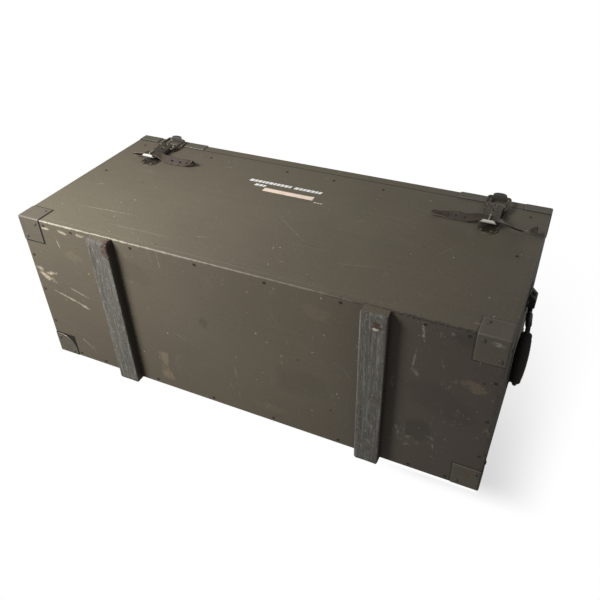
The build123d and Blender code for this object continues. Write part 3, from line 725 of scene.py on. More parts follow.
def place_piece(name, mesh, body, slot, finish_name, replaces=(), smooth_angle=40):
    """A finished mesh becomes a piece that rides on a body."""
    if isinstance(mesh, bmesh.types.BMesh):
        bmesh.ops.recalc_face_normals(mesh, faces=mesh.faces)
        data = bpy.data.meshes.new(name)
        mesh.to_mesh(data)
        mesh.free()
    else:
        data = mesh
    data.materials.append(finish(finish_name))
    data.shade_smooth()
    data.set_sharp_from_angle(angle=math.radians(smooth_angle))
    piece = bpy.data.objects.new(name, data)
    bpy.context.scene.collection.objects.link(piece)
    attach(piece, body)
    if replaces:
        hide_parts(*replaces)
    return piece


def face_outwards(bm, direction):
    """Turns an open sheet's faces so that they look mainly along a direction."""
    total = sum((face.normal * face.calc_area() for face in bm.faces), Vector())
    if total.dot(Vector(direction)) < 0:
        bmesh.ops.reverse_faces(bm, faces=bm.faces)


def sheet_grid(bm, rows, holes=()):
    """Faces between rows of points. holes are (row, column) cells left open."""
    lines = [[bm.verts.new(p) for p in row] for row in rows]
    for r in range(len(lines) - 1):
        for c in range(len(lines[0]) - 1):
            if (r, c) not in holes:
                bm.faces.new((lines[r][c], lines[r][c + 1], lines[r + 1][c + 1], lines[r + 1][c]))
    return lines


def sheet_piece(name, rows, holes, facing, thickness, **place):
    """A thin sheet from rows of points, made solid behind the side that faces out."""
    bm = bmesh.new()
    sheet_grid(bm, rows, holes)
    bmesh.ops.recalc_face_normals(bm, faces=bm.faces)
    bm.normal_update()
    face_outwards(bm, facing)
    loose = [v for v in bm.verts if not v.link_faces]
    bmesh.ops.delete(bm, geom=loose, context="VERTS")
    data = bpy.data.meshes.new(name)
    bm.to_mesh(data)
    bm.free()
    piece = place_piece(name, data, **place)
    thicken(piece, thickness)
    subdivide(piece)


def rounded(points, radius, steps=7):
    """A path whose corners are turned into smooth bends."""
    path = [points[0]]
    for before, corner, after in zip(points, points[1:], points[2:]):
        back, ahead = (before - corner).normalized(), (after - corner).normalized()
        start, end = corner + back * radius, corner + ahead * radius
        for i in range(steps + 1):
            t = i / steps
            path.append(start * (1 - t) ** 2 + corner * (2 * t * (1 - t)) * 0.82
                        + (start + end) / 2 * (2 * t * (1 - t)) * 0.18 + end * t ** 2)
    path.append(points[-1])
    return path


def smooth_line(points, steps):
    """Evenly eased line through control points of any number of values."""
    padded = [points[0], *points, points[-1]]
    line = []
    for a, b, c, d in zip(padded, padded[1:], padded[2:], padded[3:]):
        for i in range(steps):
            t = i / steps
            line.append([
                0.5 * (2 * q + (r - p) * t + (2 * p - 5 * q + 4 * r - s) * t * t
                       + (3 * q - p - 3 * r + s) * t ** 3)
                for p, q, r, s in zip(a, b, c, d)
            ])
    line.append(list(points[-1]))
    return line


def tube(bm, path, plane_normal, radius, sides=18):
    """Round bar along a path in one plane, with domed ends."""
    normal = Vector(plane_normal).normalized()
    tangents = []
    for i in range(len(path)):
        before, after = path[max(i - 1, 0)], path[min(i + 1, len(path) - 1)]
        tangents.append((after - before).normalized())
    dome = [math.radians(a) for a in (15, 38, 62)]
    stations = [(path[0] - tangents[0] * radius * math.cos(a), tangents[0], radius * math.sin(a))
                for a in dome]
    stations += [(p, t, radius) for p, t in zip(path, tangents)]
    stations += [(path[-1] + tangents[-1] * radius * math.cos(a), tangents[-1], radius * math.sin(a))
                 for a in reversed(dome)]
    rings = []
    for point, tangent, reach in stations:
        side = tangent.cross(normal).normalized()
        rings.append([
            bm.verts.new(point + (normal * math.cos(a) + side * math.sin(a)) * reach)
            for a in (2 * math.pi * k / sides for k in range(sides))
        ])
    for ring, following in zip(rings, rings[1:]):
        for k in range(sides):
            n = (k + 1) % sides
            bm.faces.new((ring[k], ring[n], following[n], following[k]))
    bm.faces.new(rings[0])
    bm.faces.new(rings[-1])


def clean_copy(node):
    """An editable copy of a CAD part with its flat faces whole."""
    bm = bmesh.new()
    bm.from_mesh(frame["nodes"][node].data)
    bmesh.ops.remove_doubles(bm, verts=bm.verts, dist=0.01 * MM)
    bmesh.ops.dissolve_limit(bm, angle_limit=math.radians(1), verts=bm.verts, edges=bm.edges)
    return bm


class FOOTLOCKER_OT_boards(bpy.types.Operator):
    """Paints the case boards and the lid."""

    bl_idname = "footlocker.boards"
    bl_label = "Boards"

    def execute(self, context):
        for node in BOARDS:
            coat_node(node, "end_boards" if node.startswith("end") else "boards", 0.9 * MM)
        return {"FINISHED"}


class FOOTLOCKER_OT_inner_wood(bpy.types.Operator):
    """Finishes the battens, rails and lid cleats inside."""

    bl_idname = "footlocker.inner_wood"
    bl_label = "Inner battens, rails and cleats"

    def execute(self, context):
        nodes = [f"corner_batten_{face}_{side}" for face in FACES for side in SIDES]
        nodes += [f"inner_rail_{face}" for face in FACES]
        nodes += [f"lid_cleat_{side}" for side in SIDES]
        for node in nodes:
            coat_node(node, "inner_wood", 0.8 * MM)
        return {"FINISHED"}


def skid_section(low, high, worn):
    """Outline of a skid seen along its length: down one side, under and up the other."""
    outline = [Vector((low.x, 0, high.z)) + Vector((0, 0, -1)) * (high.z - low.z - worn) * k / 8
               for k in range(8)]
    corner = Vector((low.x + worn, 0, low.z + worn))
    for k in range(5):
        a = math.pi / 2 * k / 4
        outline.append(corner + Vector((-math.cos(a), 0, -math.sin(a))) * worn)
    flat = high.x - low.x - 2 * worn
    outline += [Vector((low.x + worn + flat * k / 30, 0, low.z)) for k in range(1, 30)]
    corner = Vector((high.x - worn, 0, low.z + worn))
    for k in range(5):
        a = math.pi / 2 * k / 4
        outline.append(corner + Vector((math.sin(a), 0, -math.cos(a))) * worn)
    outline += [Vector((high.x, 0, low.z + worn)) + Vector((0, 0, 1)) * (high.z - low.z - worn) * k / 8
                for k in range(1, 9)]
    return outline


def skid_mesh(node, wood):
    """A rubbing skid with open grain, rounded ends and unevenly worn edges."""
    low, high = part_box(node)
    middle = (low + high) / 2
    bm = bmesh.new()
    rings = []
    stations = 150
    for i in range(stations + 1):
        share = i / stations
        y = low.y + (high.y - low.y) * share
        near_end = max(0.0, 1 - min(share, 1 - share) * stations / 2.5)
        knocks = noise.noise(Vector((low.x * 9, y * 55, 1))) + 0.6 * noise.noise(Vector((low.x, y * 190, 4)))
        worn = wood.edge_wear * (0.85 + 0.55 * knocks) + 0.5 * MM
        ring = []
        for point in skid_section(low, high, worn):
            spot = Vector((point.x * 330, y * 9, point.z * 330))
            open_grain = max(0.0, noise.noise(spot) + 0.45 * noise.noise(spot * 2.3))
            inward = middle - Vector((point.x, middle.y, point.z))
            toward = Vector((inward.x / 2, 0, inward.z)).normalized()
            depth = wood.grooves * open_grain + near_end ** 2 * 1.2 * MM
            ring.append(bm.verts.new(Vector((point.x, y, point.z)) + toward * depth))
        rings.append(ring)
    count = len(rings[0])
    for ring, following in zip(rings, rings[1:]):
        for k in range(count):
            n = (k + 1) % count
            bm.faces.new((ring[k], ring[n], following[n], following[k]))
    bm.faces.new(rings[0])
    bm.faces.new(rings[-1])
    return bm


class FOOTLOCKER_OT_skids(bpy.types.Operator):
    """Makes the two worn skids under the chest."""

    bl_idname = "footlocker.skids"
    bl_label = "Skids"

    def execute(self, context):
        for side in SIDES:
            bm = skid_mesh(f"skid_{side}", context.scene.footlocker_wood)
            place_piece(f"worn_skid_{side}", bm, "case", "skid_wood", "skid", (f"skid_{side}",))
        return {"FINISHED"}


def bent_corner(node, bend):
    """A corner protector whose three sheets are folded round instead of sharp."""
    bm = clean_copy(node)
    low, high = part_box(node)
    outer = Vector((max(low.x, high.x, key=abs), max(low.y, high.y, key=lambda y: abs(y - MIDDLE_Y)),
                    low.z if low.z < UNDERSIDE else high.z))
    folds = []
    for edge in bm.edges:
        shared = [all(abs(v.co[i] - outer[i]) < 0.1 * MM for v in edge.verts) for i in range(3)]
        if sum(shared) == 2:
            folds.append(edge)
    bmesh.ops.bevel(bm, geom=folds, offset=bend, segments=5, profile=0.5, affect="EDGES",
                    offset_type="OFFSET", clamp_overlap=False)
    return bm


class FOOTLOCKER_OT_corners(bpy.types.Operator):
    """Makes the folded steel corner protectors of the case and the lid."""

    bl_idname = "footlocker.corners"
    bl_label = "Corner protectors"

    def execute(self, context):
        bend = context.scene.footlocker_metal.bend
        for part, body in (("base", "case"), ("lid", "lid")):
            for face in FACES:
                for side in SIDES:
                    place = f"{face}_{side}"
                    node = f"{part}_corner_{place}"
                    bm = bent_corner(node, bend)
                    piece = place_piece(f"{part}_protector_{place}", bm, body, "corner_steel",
                                        "corner_steel", (node,), 30)
                    soften(piece, 0.35 * MM, 2, 50)
        return {"FINISHED"}


class FOOTLOCKER_OT_fasteners(bpy.types.Operator):
    """Finishes the nails, screws, rivets and pins."""

    bl_idname = "footlocker.fasteners"
    bl_label = "Nails, screws, rivets and pins"

    def execute(self, context):
        coat_node("case_nails", "nail", 0.12 * MM, 2, 50)
        for node in ("skid_screws", "base_corner_rivets", "latch_rivets", "hinge_screws",
                     "handle_rivets", "lid_rivets"):
            coat_node(node, "rivet", 0.12 * MM, 2, 50)
        for side in SIDES:
            for node in (f"latch_pin_{side}", f"hinge_pin_{side}"):
                coat_node(node, "pin", 0.3 * MM, 2, 50)
        return {"FINISHED"}


class FOOTLOCKER_OT_hinges(bpy.types.Operator):
    """Finishes the hinge leaves."""

    bl_idname = "footlocker.hinges"
    bl_label = "Hinges"

    def execute(self, context):
        for side in SIDES:
            coat_node(f"hinge_case_leaf_{side}", "corner_steel", 0.35 * MM, 2, 50)
            coat_node(f"hinge_lid_leaf_{side}", "corner_steel", 0.35 * MM, 2, 50)
        return {"FINISHED"}


def front_point(x, out, height):
    """A point by its x, its distance out from the front and its height above the underside, in mm."""
    return Vector((x, FRONT - out * MM, UNDERSIDE + height * MM))


# Latch sizes in mm, heights above the underside and distances out from the front
PLATE = 2.0
LIP_REACH = 5.0             # the lever's finger lip stands this far out
CAD_WIRE = 2.25             # radius of the CAD bail
CAD_STAPLE = 1.25           # radius of the CAD strap loop
BAIL_GAP = 0.4              # bail to the hook's floor
HOOK_TOP = 388.0
HOOK_HALF = 12.5
HOOK_ROUND = 9.0            # height of the hook's rounded top
KEEPER_BEND = 3.0
BAIL_CORNER = 4.4
STAPLE_CORNER = 3.0
LEVER_SLOT = (322.0, 328.0)
LEVER_OPENINGS = {(9, 6), (11, 6)}      # row and column of the open cells
LATCH_X = abs(pivot_of("lever_left_swing").x)
PIVOT_OUT = (FRONT - pivot_of("lever_left_swing").y) / MM
BAIL_PIN_UP = (pivot_of("bail_left_swing").z - UNDERSIDE) / MM
BAIL_BAR_UP = (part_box("latch_bail_left")[1].z - UNDERSIDE) / MM - CAD_WIRE
BAIL_HALF = (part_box("latch_bail_right")[1].x - LATCH_X) / MM - CAD_WIRE
WEB_OUT = (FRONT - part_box("latch_lever_left")[0].y) / MM - LIP_REACH
LEVER_LOW = (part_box("latch_lever_left")[0].z - UNDERSIDE) / MM + PLATE
LEVER_HIGH = (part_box("latch_lever_left")[1].z - UNDERSIDE) / MM
LEVER_HALF = (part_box("latch_lever_right")[1].x - LATCH_X) / MM


def lever_rows(x):
    """Rows of a stamped lever: a flat finger end with a curled lip, then a channel."""
    # height, distance out, half width, depth of the side walls
    profile = (
        (LEVER_LOW + 0.3, WEB_OUT + LIP_REACH, LEVER_HALF - 5.0, 0.25),
        (LEVER_LOW - 1.6, WEB_OUT + 4.2, LEVER_HALF - 3.0, 0.25),
        (LEVER_LOW - 1.4, WEB_OUT + 2.0, LEVER_HALF - 1.2, 0.25),
        (LEVER_LOW + 1.2, WEB_OUT + 0.3, LEVER_HALF - 0.6, 0.4),
        (LEVER_LOW + 5.0, WEB_OUT, LEVER_HALF, 1.0),
        (LEVER_LOW + 14.0, WEB_OUT, LEVER_HALF, 1.6),
        (LEVER_LOW + 22.0, WEB_OUT, LEVER_HALF, 2.6),
        (LEVER_LOW + 27.0, WEB_OUT, LEVER_HALF, 6.2),
        (LEVER_LOW + 36.0, WEB_OUT, LEVER_HALF, 8.0),
        (LEVER_SLOT[0], WEB_OUT, LEVER_HALF, 8.0),
        (LEVER_SLOT[1], WEB_OUT, LEVER_HALF, 8.0),
        (338.0, WEB_OUT, LEVER_HALF, 8.2),
        (346.0, WEB_OUT, LEVER_HALF, 8.0),
        (LEVER_HIGH, WEB_OUT - 0.3, LEVER_HALF - 0.4, 6.0),
    )
    rows = []
    for height, out, half, wall in profile:
        right = [
            (3.0, 0.0), (half * 0.55, 0.0), (half - 2.2, 0.0), (half - 0.5, min(0.5, wall)),
            (half, min(1.8, wall)), (half, wall * 0.6 if wall > 3 else wall), (half, wall),
        ]
        section = [(-a, b) for a, b in reversed(right)] + right
        rows.append([front_point(x + a * MM, out - b, height) for a, b in section])
    return rows


def keeper_rows(node):
    """Rows of the angle plate bent over the lid's front edge."""
    low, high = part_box(node)
    top = (high.z - UNDERSIDE) / MM
    back = -(high.y - FRONT) / MM
    foot = (SEAM - UNDERSIDE) / MM + 0.4
    bend = KEEPER_BEND
    profile = [(PLATE, foot), (PLATE, foot + 2), (PLATE, foot + 10), (PLATE, top - bend)]
    profile += [(PLATE - bend * (1 - math.cos(a)), top - bend + bend * math.sin(a))
                for a in (math.pi / 2 * k / 4 for k in range(1, 5))]
    profile += [(-12.0, top), (back + 3, top), (back, top)]
    rows = []
    last = len(profile) - 1
    for i, (out, height) in enumerate(profile):
        inset = 2.2 * MM if i == last else 0.0
        x0, x1 = low.x + inset, high.x - inset
        xs = [x0, x0 + 2.5 * MM, *(x0 + (x1 - x0) * k / 6 for k in range(1, 6)), x1 - 2.5 * MM, x1]
        lift = [0.25 * math.sin(5 * k + x1 * 30) if 2 < i < last else 0.0 for k in range(len(xs))]
        rows.append([front_point(x, out, height + lift[k]) for k, x in enumerate(xs)])
    return rows


def hook_rows(x, bar_up):
    """Rows of the hooked tongue that the bail closes over, ending in a half disc."""
    floor = bar_up - CAD_WIRE - BAIL_GAP
    path = [(1.2, floor), (6.0, floor), (11.0, floor + 0.1), (14.2, floor + 0.7), (15.8, floor + 2.6)]
    path += [(16.0, floor + 2.6 + (HOOK_TOP - floor - 2.6) * k / 7) for k in range(1, 8)]
    columns = (-1, -0.82, -0.5, -0.2, 0.2, 0.5, 0.82, 1)
    rows = []
    for out, height in path:
        rise = max(0.0, (height - (HOOK_TOP - HOOK_ROUND)) / HOOK_ROUND)
        reach = HOOK_HALF * math.sqrt(max(0.02, 1 - rise ** 2.4))
        dome = 0.9 * (1 - rise) if out > 15 else 0.0
        rows.append([front_point(x + c * reach * MM, out - 0.9 + dome * (1 - c * c), height)
                     for c in columns])
    return rows


class FOOTLOCKER_OT_latches(bpy.types.Operator):
    """Makes the draw latches: bases, levers, bails, strap loops and hooked keepers."""

    bl_idname = "footlocker.latches"
    bl_label = "Draw latches"

    def execute(self, context):
        metal = context.scene.footlocker_metal
        for side_name, side in SIDES.items():
            x = side * LATCH_X
            lever_body = f"lever_{side_name}"
            coat_node(f"latch_base_{side_name}", "latch", 0.45 * MM, 3, 50)

            sheet_piece(f"stamped_lever_{side_name}", lever_rows(x), LEVER_OPENINGS, (0, -1, 0), 1.7 * MM,
                        body=lever_body, slot="latch_steel", finish_name="latch",
                        replaces=(f"latch_lever_{side_name}",))

            node = f"keeper_{side_name}"
            sheet_piece(f"keeper_plate_{side_name}", keeper_rows(node), (), (0, -1, 1), 1.9 * MM,
                        body="lid", slot="corner_steel", finish_name="corner_steel", replaces=(node,))
            sheet_piece(f"keeper_hook_{side_name}", hook_rows(x, BAIL_BAR_UP), (), (0, -1, 0), 1.9 * MM,
                        body="lid", slot="corner_steel", finish_name="hook")

            bail = bmesh.new()
            pin_in = LEVER_HALF - 3.0
            corners = [(-pin_in, BAIL_PIN_UP), (-BAIL_HALF, BAIL_PIN_UP), (-BAIL_HALF, BAIL_BAR_UP),
                       (BAIL_HALF, BAIL_BAR_UP), (BAIL_HALF, BAIL_PIN_UP), (pin_in, BAIL_PIN_UP)]
            path = rounded([front_point(x + a * MM, PIVOT_OUT, up) for a, up in corners], BAIL_CORNER * MM)
            tube(bail, path, (0, 1, 0), metal.wire)
            place_piece(f"bail_wire_{side_name}", bail, f"bail_{side_name}", "latch_steel", "bail",
                        (f"latch_bail_{side_name}",), 60)

            loop = bmesh.new()
            loop_low, loop_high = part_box(f"lever_loop_{side_name}")
            low = (loop_low.z - UNDERSIDE) / MM + CAD_STAPLE
            high = (loop_high.z - UNDERSIDE) / MM - CAD_STAPLE
            crown = (FRONT - loop_low.y) / MM - CAD_STAPLE
            corners = ((WEB_OUT - 1, low), (crown, low), (crown, high), (WEB_OUT - 1, high))
            path = rounded([front_point(x, out, up) for out, up in corners], STAPLE_CORNER * MM)
            tube(loop, path, (1, 0, 0), metal.staple, 14)
            place_piece(f"strap_staple_{side_name}", loop, lever_body, "latch_steel", "staple",
                        (f"lever_loop_{side_name}",), 60)
        return {"FINISHED"}


# Strap ends: distance along from the latch, out from the front, height, twist in degrees
STRAPS = {
    ("right", "inner"): ((0, 14.9, 290, 0), (14, 15.2, 290, -4), (26, 12, 289, -26), (38, 9, 288, -36),
                         (54, 9, 289, -37), (68, 7, 290, -26), (82, 5, 292, -6), (102, 3.4, 294, 0)),
    ("right", "outer"): ((0, 14.9, 290, 0), (15, 15.2, 289, -6), (28, 12, 286, -34), (44, 9.5, 282, -39),
                         (58, 10, 279, -34), (70, 13, 277, 0), (80, 18, 275, 34)),
    ("left", "inner"): ((0, 14.9, 290, 0), (15, 15.2, 290, -8), (30, 10, 289, -32), (48, 8, 288, -36),
                        (66, 7, 290, -36), (82, 7, 291, -30), (94, 9, 292, 10), (102, 12, 291, 62)),
    ("left", "outer"): ((0, 14.9, 290, 0), (14, 15.2, 289, -8), (24, 12, 286, -34), (34, 11, 284, -40),
                        (44, 12, 282, -36)),
}


STRAP_HOLE_ROWS = (6, 14, 22, 30)
HOLE_COLUMN = 3


def strap_mesh(name, side, leathers):
    """One strap as an open ribbon through the staple, with holes in its long end."""
    inner = smooth_line(STRAPS[name, "inner"], 8)
    outer = smooth_line(STRAPS[name, "outer"], 8)
    line = [(-p[0], *p[1:3], -p[3]) for p in reversed(inner[1:])] + [tuple(p) for p in outer]
    columns = (-1.0, -0.86, -0.55, -0.2, 0.2, 0.55, 0.86, 1.0)
    half = leathers.strap_width / 2
    rows = []
    for i, (along, out, height, twist) in enumerate(line):
        from_tip = min(i, len(line) - 1 - i)
        taper = (0.62, 0.84, 0.95)[from_tip] if from_tip < 3 else 1.0
        middle = front_point(side * (LATCH_X + along * MM), out, height)
        a = math.radians(twist)
        across = Vector((0, -math.sin(a), math.cos(a)))
        ripple = 0.35 * MM * math.sin(i * 0.9)
        rows.append([
            middle + across * (half * taper * c) + Vector((0, -ripple * (c * c - 0.4), 0))
            for c in columns
        ])
    holes = {(row + k, HOLE_COLUMN) for row in STRAP_HOLE_ROWS for k in (0, 1)}
    bm = bmesh.new()
    layer = bm.verts.layers.float.new("edge")
    lines = sheet_grid(bm, rows, holes)
    for row in lines:
        for vert, c in zip(row, columns):
            vert[layer] = abs(c) ** 6
    bmesh.ops.delete(bm, geom=[v for v in bm.verts if not v.link_faces], context="VERTS")
    bmesh.ops.recalc_face_normals(bm, faces=bm.faces)
    data = bpy.data.meshes.new(f"strap_{name}")
    bm.to_mesh(data)
    bm.free()
    return data


class FOOTLOCKER_OT_straps(bpy.types.Operator):
    """Makes the leather straps threaded through the lever loops."""

    bl_idname = "footlocker.straps"
    bl_label = "Latch straps"

    def execute(self, context):
        leathers = context.scene.footlocker_leather
        for name, side in SIDES.items():
            data = strap_mesh(name, side, leathers)
            strap = place_piece(f"leather_strap_{name}", data, f"lever_{name}", "strap_leather", "strap",
                                (f"latch_strap_{name}",), 70)
            thicken(strap, leathers.strap_thick, 0.0)
            subdivide(strap)
        return {"FINISHED"}


GRIP_END = 8.5              # radius at the ends, mm
GRIP_BULGE = 3.0            # further radius at the middle, mm


def grip_mesh(centre, axis_out, length):
    """A sewn leather barrel with rolled collars at its ends."""
    rings, sides = 46, 64
    bm = bmesh.new()
    layer = bm.verts.layers.float.new("edge")
    inward = Vector((0, 1, 0)).cross(axis_out)
    made = []
    for i in range(rings + 1):
        share = i / rings
        bulge = GRIP_END + GRIP_BULGE * (1 - (2 * share - 1) ** 2)
        from_end = min(share, 1 - share) * length / MM
        if from_end < 1.0:
            bulge -= 2.4 * (1 - from_end) ** 2
        collar = math.exp(-((from_end - 4.0) / 2.2) ** 2)
        groove = math.exp(-((from_end - 8.0) / 1.0) ** 2)
        ring = []
        for k in range(sides):
            a = 2 * math.pi * k / sides
            seam = math.exp(-(math.atan2(math.sin(a), math.cos(a)) / 0.10) ** 2)
            crease = 0.10 * noise.noise(Vector((math.cos(a) * 4, math.sin(a) * 4, share * 26)))
            reach = (bulge + 0.25 * collar - 0.5 * groove - 0.45 * seam + crease) * MM
            offset = (axis_out * math.cos(a) + inward * math.sin(a)) * reach
            vert = bm.verts.new(centre + Vector((0, (share - 0.5) * length, 0)) + offset)
            vert[layer] = max(collar, 0.6 * seam)
            ring.append(vert)
        made.append(ring)
    for ring, following in zip(made, made[1:]):
        for k in range(sides):
            n = (k + 1) % sides
            bm.faces.new((ring[k], ring[n], following[n], following[k]))
    bm.faces.new(made[0])
    bm.faces.new(made[-1])
    return bm


def stitch_mesh(centre, axis_out, length, count):
    """Thread stitches crossing a grip's seam."""
    inward = Vector((0, 1, 0)).cross(axis_out)
    bm = bmesh.new()
    run = length - 24 * MM
    for i in range(count):
        share = (i + 0.5) / count
        y = (share - 0.5) * run
        level = (GRIP_END + GRIP_BULGE * (1 - (2 * y / length) ** 2) - 0.15) * MM
        middle = centre + Vector((0, y, 0)) + axis_out * level
        reach = 1.9 * MM
        lean = Vector((0, 0.7 * MM, 0))
        path = [middle - inward * reach - lean - axis_out * 0.45 * MM,
                middle - inward * reach * 0.5 - lean * 0.5,
                middle + inward * reach * 0.5 + lean * 0.5,
                middle + inward * reach + lean - axis_out * 0.45 * MM]
        tube(bm, path, axis_out, 0.42 * MM, 8)
    return bm


class FOOTLOCKER_OT_handles(bpy.types.Operator):
    """Makes the end handles: caps, rods, leather grips and their stitching."""

    bl_idname = "footlocker.handles"
    bl_label = "End handles"

    def execute(self, context):
        leathers = context.scene.footlocker_leather
        metal = context.scene.footlocker_metal
        for side_name, side in SIDES.items():
            body = f"handle_{side_name}"
            for face in FACES:
                coat_node(f"handle_cap_{face}_{side_name}", "enamel", 1.1 * MM, 3, 50)
            pivot = pivot_of(f"handle_{side_name}_swing")
            grip_low, grip_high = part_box(f"handle_grip_{side_name}")
            rod_low, rod_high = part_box(f"handle_rod_{side_name}")
            centre = (grip_low + grip_high) / 2
            drop = Vector((centre.x - pivot.x, 0, centre.z - pivot.z))
            length = grip_high.y - grip_low.y
            arm_y = length / 2 + 9 * MM
            end_y = (rod_high.y - rod_low.y) / 2
            corners = [(-end_y, 0), (-arm_y, 0), (-arm_y, 1), (arm_y, 1), (arm_y, 0), (end_y, 0)]
            path = rounded([pivot + Vector((0, y, 0)) + drop * down for y, down in corners], 8 * MM)
            rod = bmesh.new()
            plane_normal = Vector((0, 1, 0)).cross(drop)
            tube(rod, path, plane_normal, metal.rod, 24)
            for face in FACES.values():
                sleeve = [pivot + Vector((0, face * arm_y, 0)) + drop * down
                          for down in (0.30, 0.34, 0.74, 0.78)]
                tube(rod, sleeve, plane_normal, metal.arm, 24)
            place_piece(f"handle_bar_{side_name}", rod, body, "handle_steel", "enamel",
                        (f"handle_rod_{side_name}",), 60)
            axis_out = Vector((side, 0, 0))
            grip = grip_mesh(centre, axis_out, length)
            place_piece(f"leather_grip_{side_name}", grip, body, "grip_leather", "grip",
                        (f"handle_grip_{side_name}",), 50)
            seam = stitch_mesh(centre, axis_out, length, leathers.stitches)
            place_piece(f"grip_stitches_{side_name}", seam, body, "grip_leather", "thread", (), 60)
        return {"FINISHED"}


# Plain bars in place of print: start x, height, widths of the bars, bar height
PRINT_LINES = (
    (-116, 284.5, (9, 6, 7, 5, 6, 8, 5, 7, 6, 8, 5), 8.2),
    (-20, 284.0, (9, 6, 5, 8, 7, 5, 6), 8.2),
    (-98, 270.5, (8, 6, 5), 7.5),
    (37, 249.5, (5, 4, 4), 1.6),
)


def print_bars():
    """Slanted bars that stand in for two lines of print."""
    bm = bmesh.new()
    gap, slant, proud = 1.7, 1.6, 0.12
    for start, height, widths, tall in PRINT_LINES:
        x = start
        for width in widths:
            outline = ((x, height), (x + width, height), (x + width + slant, height + tall),
                       (x + slant, height + tall))
            low = [bm.verts.new(front_point(a * MM, 0, b)) for a, b in outline]
            top = [bm.verts.new(front_point(a * MM, proud, b)) for a, b in outline]
            bm.faces.new(low)
            bm.faces.new(top)
            for k in range(4):
                n = (k + 1) % 4
                bm.faces.new((low[k], low[n], top[n], top[k]))
            x += width + gap
    return bm


def label_rows(node):
    low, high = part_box(node)
    columns, rows = 36, 8
    made = []
    for r in range(rows + 1):
        v = r / rows
        row = []
        for c in range(columns + 1):
            u = c / columns
            corner = max(0.0, u - 0.9) * max(0.0, v - 0.6) * 60
            wave = 0.10 * noise.noise(Vector((u * 9, v * 3, 2)))
            ragged = 0.35 * MM * noise.noise(Vector((u * 40, v * 9, 7)))
            x = low.x + (high.x - low.x) * u + (ragged if c in (0, columns) else 0)
            z = low.z + (high.z - low.z) * v + (ragged if r in (0, rows) else 0)
            row.append(Vector((x, low.y - (wave + corner * 0.4) * MM, z)))
        made.append(row)
    return made


class FOOTLOCKER_OT_label(bpy.types.Operator):
    """Makes the blank paper label and the plain printed bars on the front."""

    bl_idname = "footlocker.label"
    bl_label = "Label and bars"

    def execute(self, context):
        bm = bmesh.new()
        layer = bm.verts.layers.float.new("edge")
        lines = sheet_grid(bm, label_rows("front_label"))
        for r, row in enumerate(lines):
            for c, vert in enumerate(row):
                rim = min(r, len(lines) - 1 - r, c, len(row) - 1 - c)
                vert[layer] = max(0.0, 1 - rim / 2)
        bmesh.ops.recalc_face_normals(bm, faces=bm.faces)
        bm.normal_update()
        face_outwards(bm, (0, -1, 0))
        data = bpy.data.meshes.new("paper_label")
        bm.to_mesh(data)
        bm.free()
        label = place_piece("paper_label", data, "case", "label_paper", "paper", ("front_label",))
        thicken(label, 0.18 * MM)
        place_piece("print_bars", print_bars(), "case", "label_paper", "stencil")
        return {"FINISHED"}


# ---------------------------------------------------------------- stage
KEY_PLACE = (-0.64, -0.95, -0.62)
KEY_AIM = Vector((-0.42, 0, -0.1))      # from the chest's middle
KEY_BEAM = 106                          # degrees
OVERHEAD_PLACE = (0.5, 0.1, 2.6)
BACK_PLACE = (-0.5, 2.4, 1.5)
FLOOR_SIZE = 60.0
FLOOR_FADE = (0.55, 1.9)                # the floor turns plain white between these distances
SHADE_REACH = 0.115                     # how far the soft shade spreads round the chest
SHADE_STRENGTH = 0.34
CAMERA_PLACE = Vector((0.46650, -0.72457, -0.68181))
CAMERA_AHEAD = Vector((-0.34881, 0.60488, 0.71586))
CAMERA_UP = Vector((-0.23868, -0.79598, 0.55628))


def soft_light(name, place, target, width, power, spread=180):
    """A round lamp aimed at a point. spread is its beam in degrees."""
    data = bpy.data.lights.new(name, "AREA")
    data.shape = "DISK"
    data.size = width
    data.energy = power
    data.spread = math.radians(spread)
    lamp = bpy.data.objects.new(name, data)
    lamp.visible_camera = False
    bpy.context.scene.collection.objects.link(lamp)
    lamp.location = place
    lamp.rotation_euler = (Vector(target) - Vector(place)).to_track_quat("-Z", "Y").to_euler()


def make_world(fill):
    """White where the camera looks and an even soft light everywhere else."""
    world = bpy.data.worlds.new("studio")
    bpy.context.scene.world = world
    world.use_nodes = True
    tree = world.node_tree
    tree.nodes.clear()
    seen = tree.nodes.new("ShaderNodeBackground")
    seen.inputs["Strength"].default_value = 1.0
    light = tree.nodes.new("ShaderNodeBackground")
    light.inputs["Strength"].default_value = fill
    for node in (seen, light):
        node.inputs["Color"].default_value = (1, 1, 1, 1)
    path = tree.nodes.new("ShaderNodeLightPath")
    mixed = tree.nodes.new("ShaderNodeMixShader")
    target = tree.nodes.new("ShaderNodeOutputWorld")
    tree.links.new(path.outputs["Is Camera Ray"], mixed.inputs[0])
    tree.links.new(light.outputs[0], mixed.inputs[1])
    tree.links.new(seen.outputs[0], mixed.inputs[2])
    tree.links.new(mixed.outputs[0], target.inputs["Surface"])


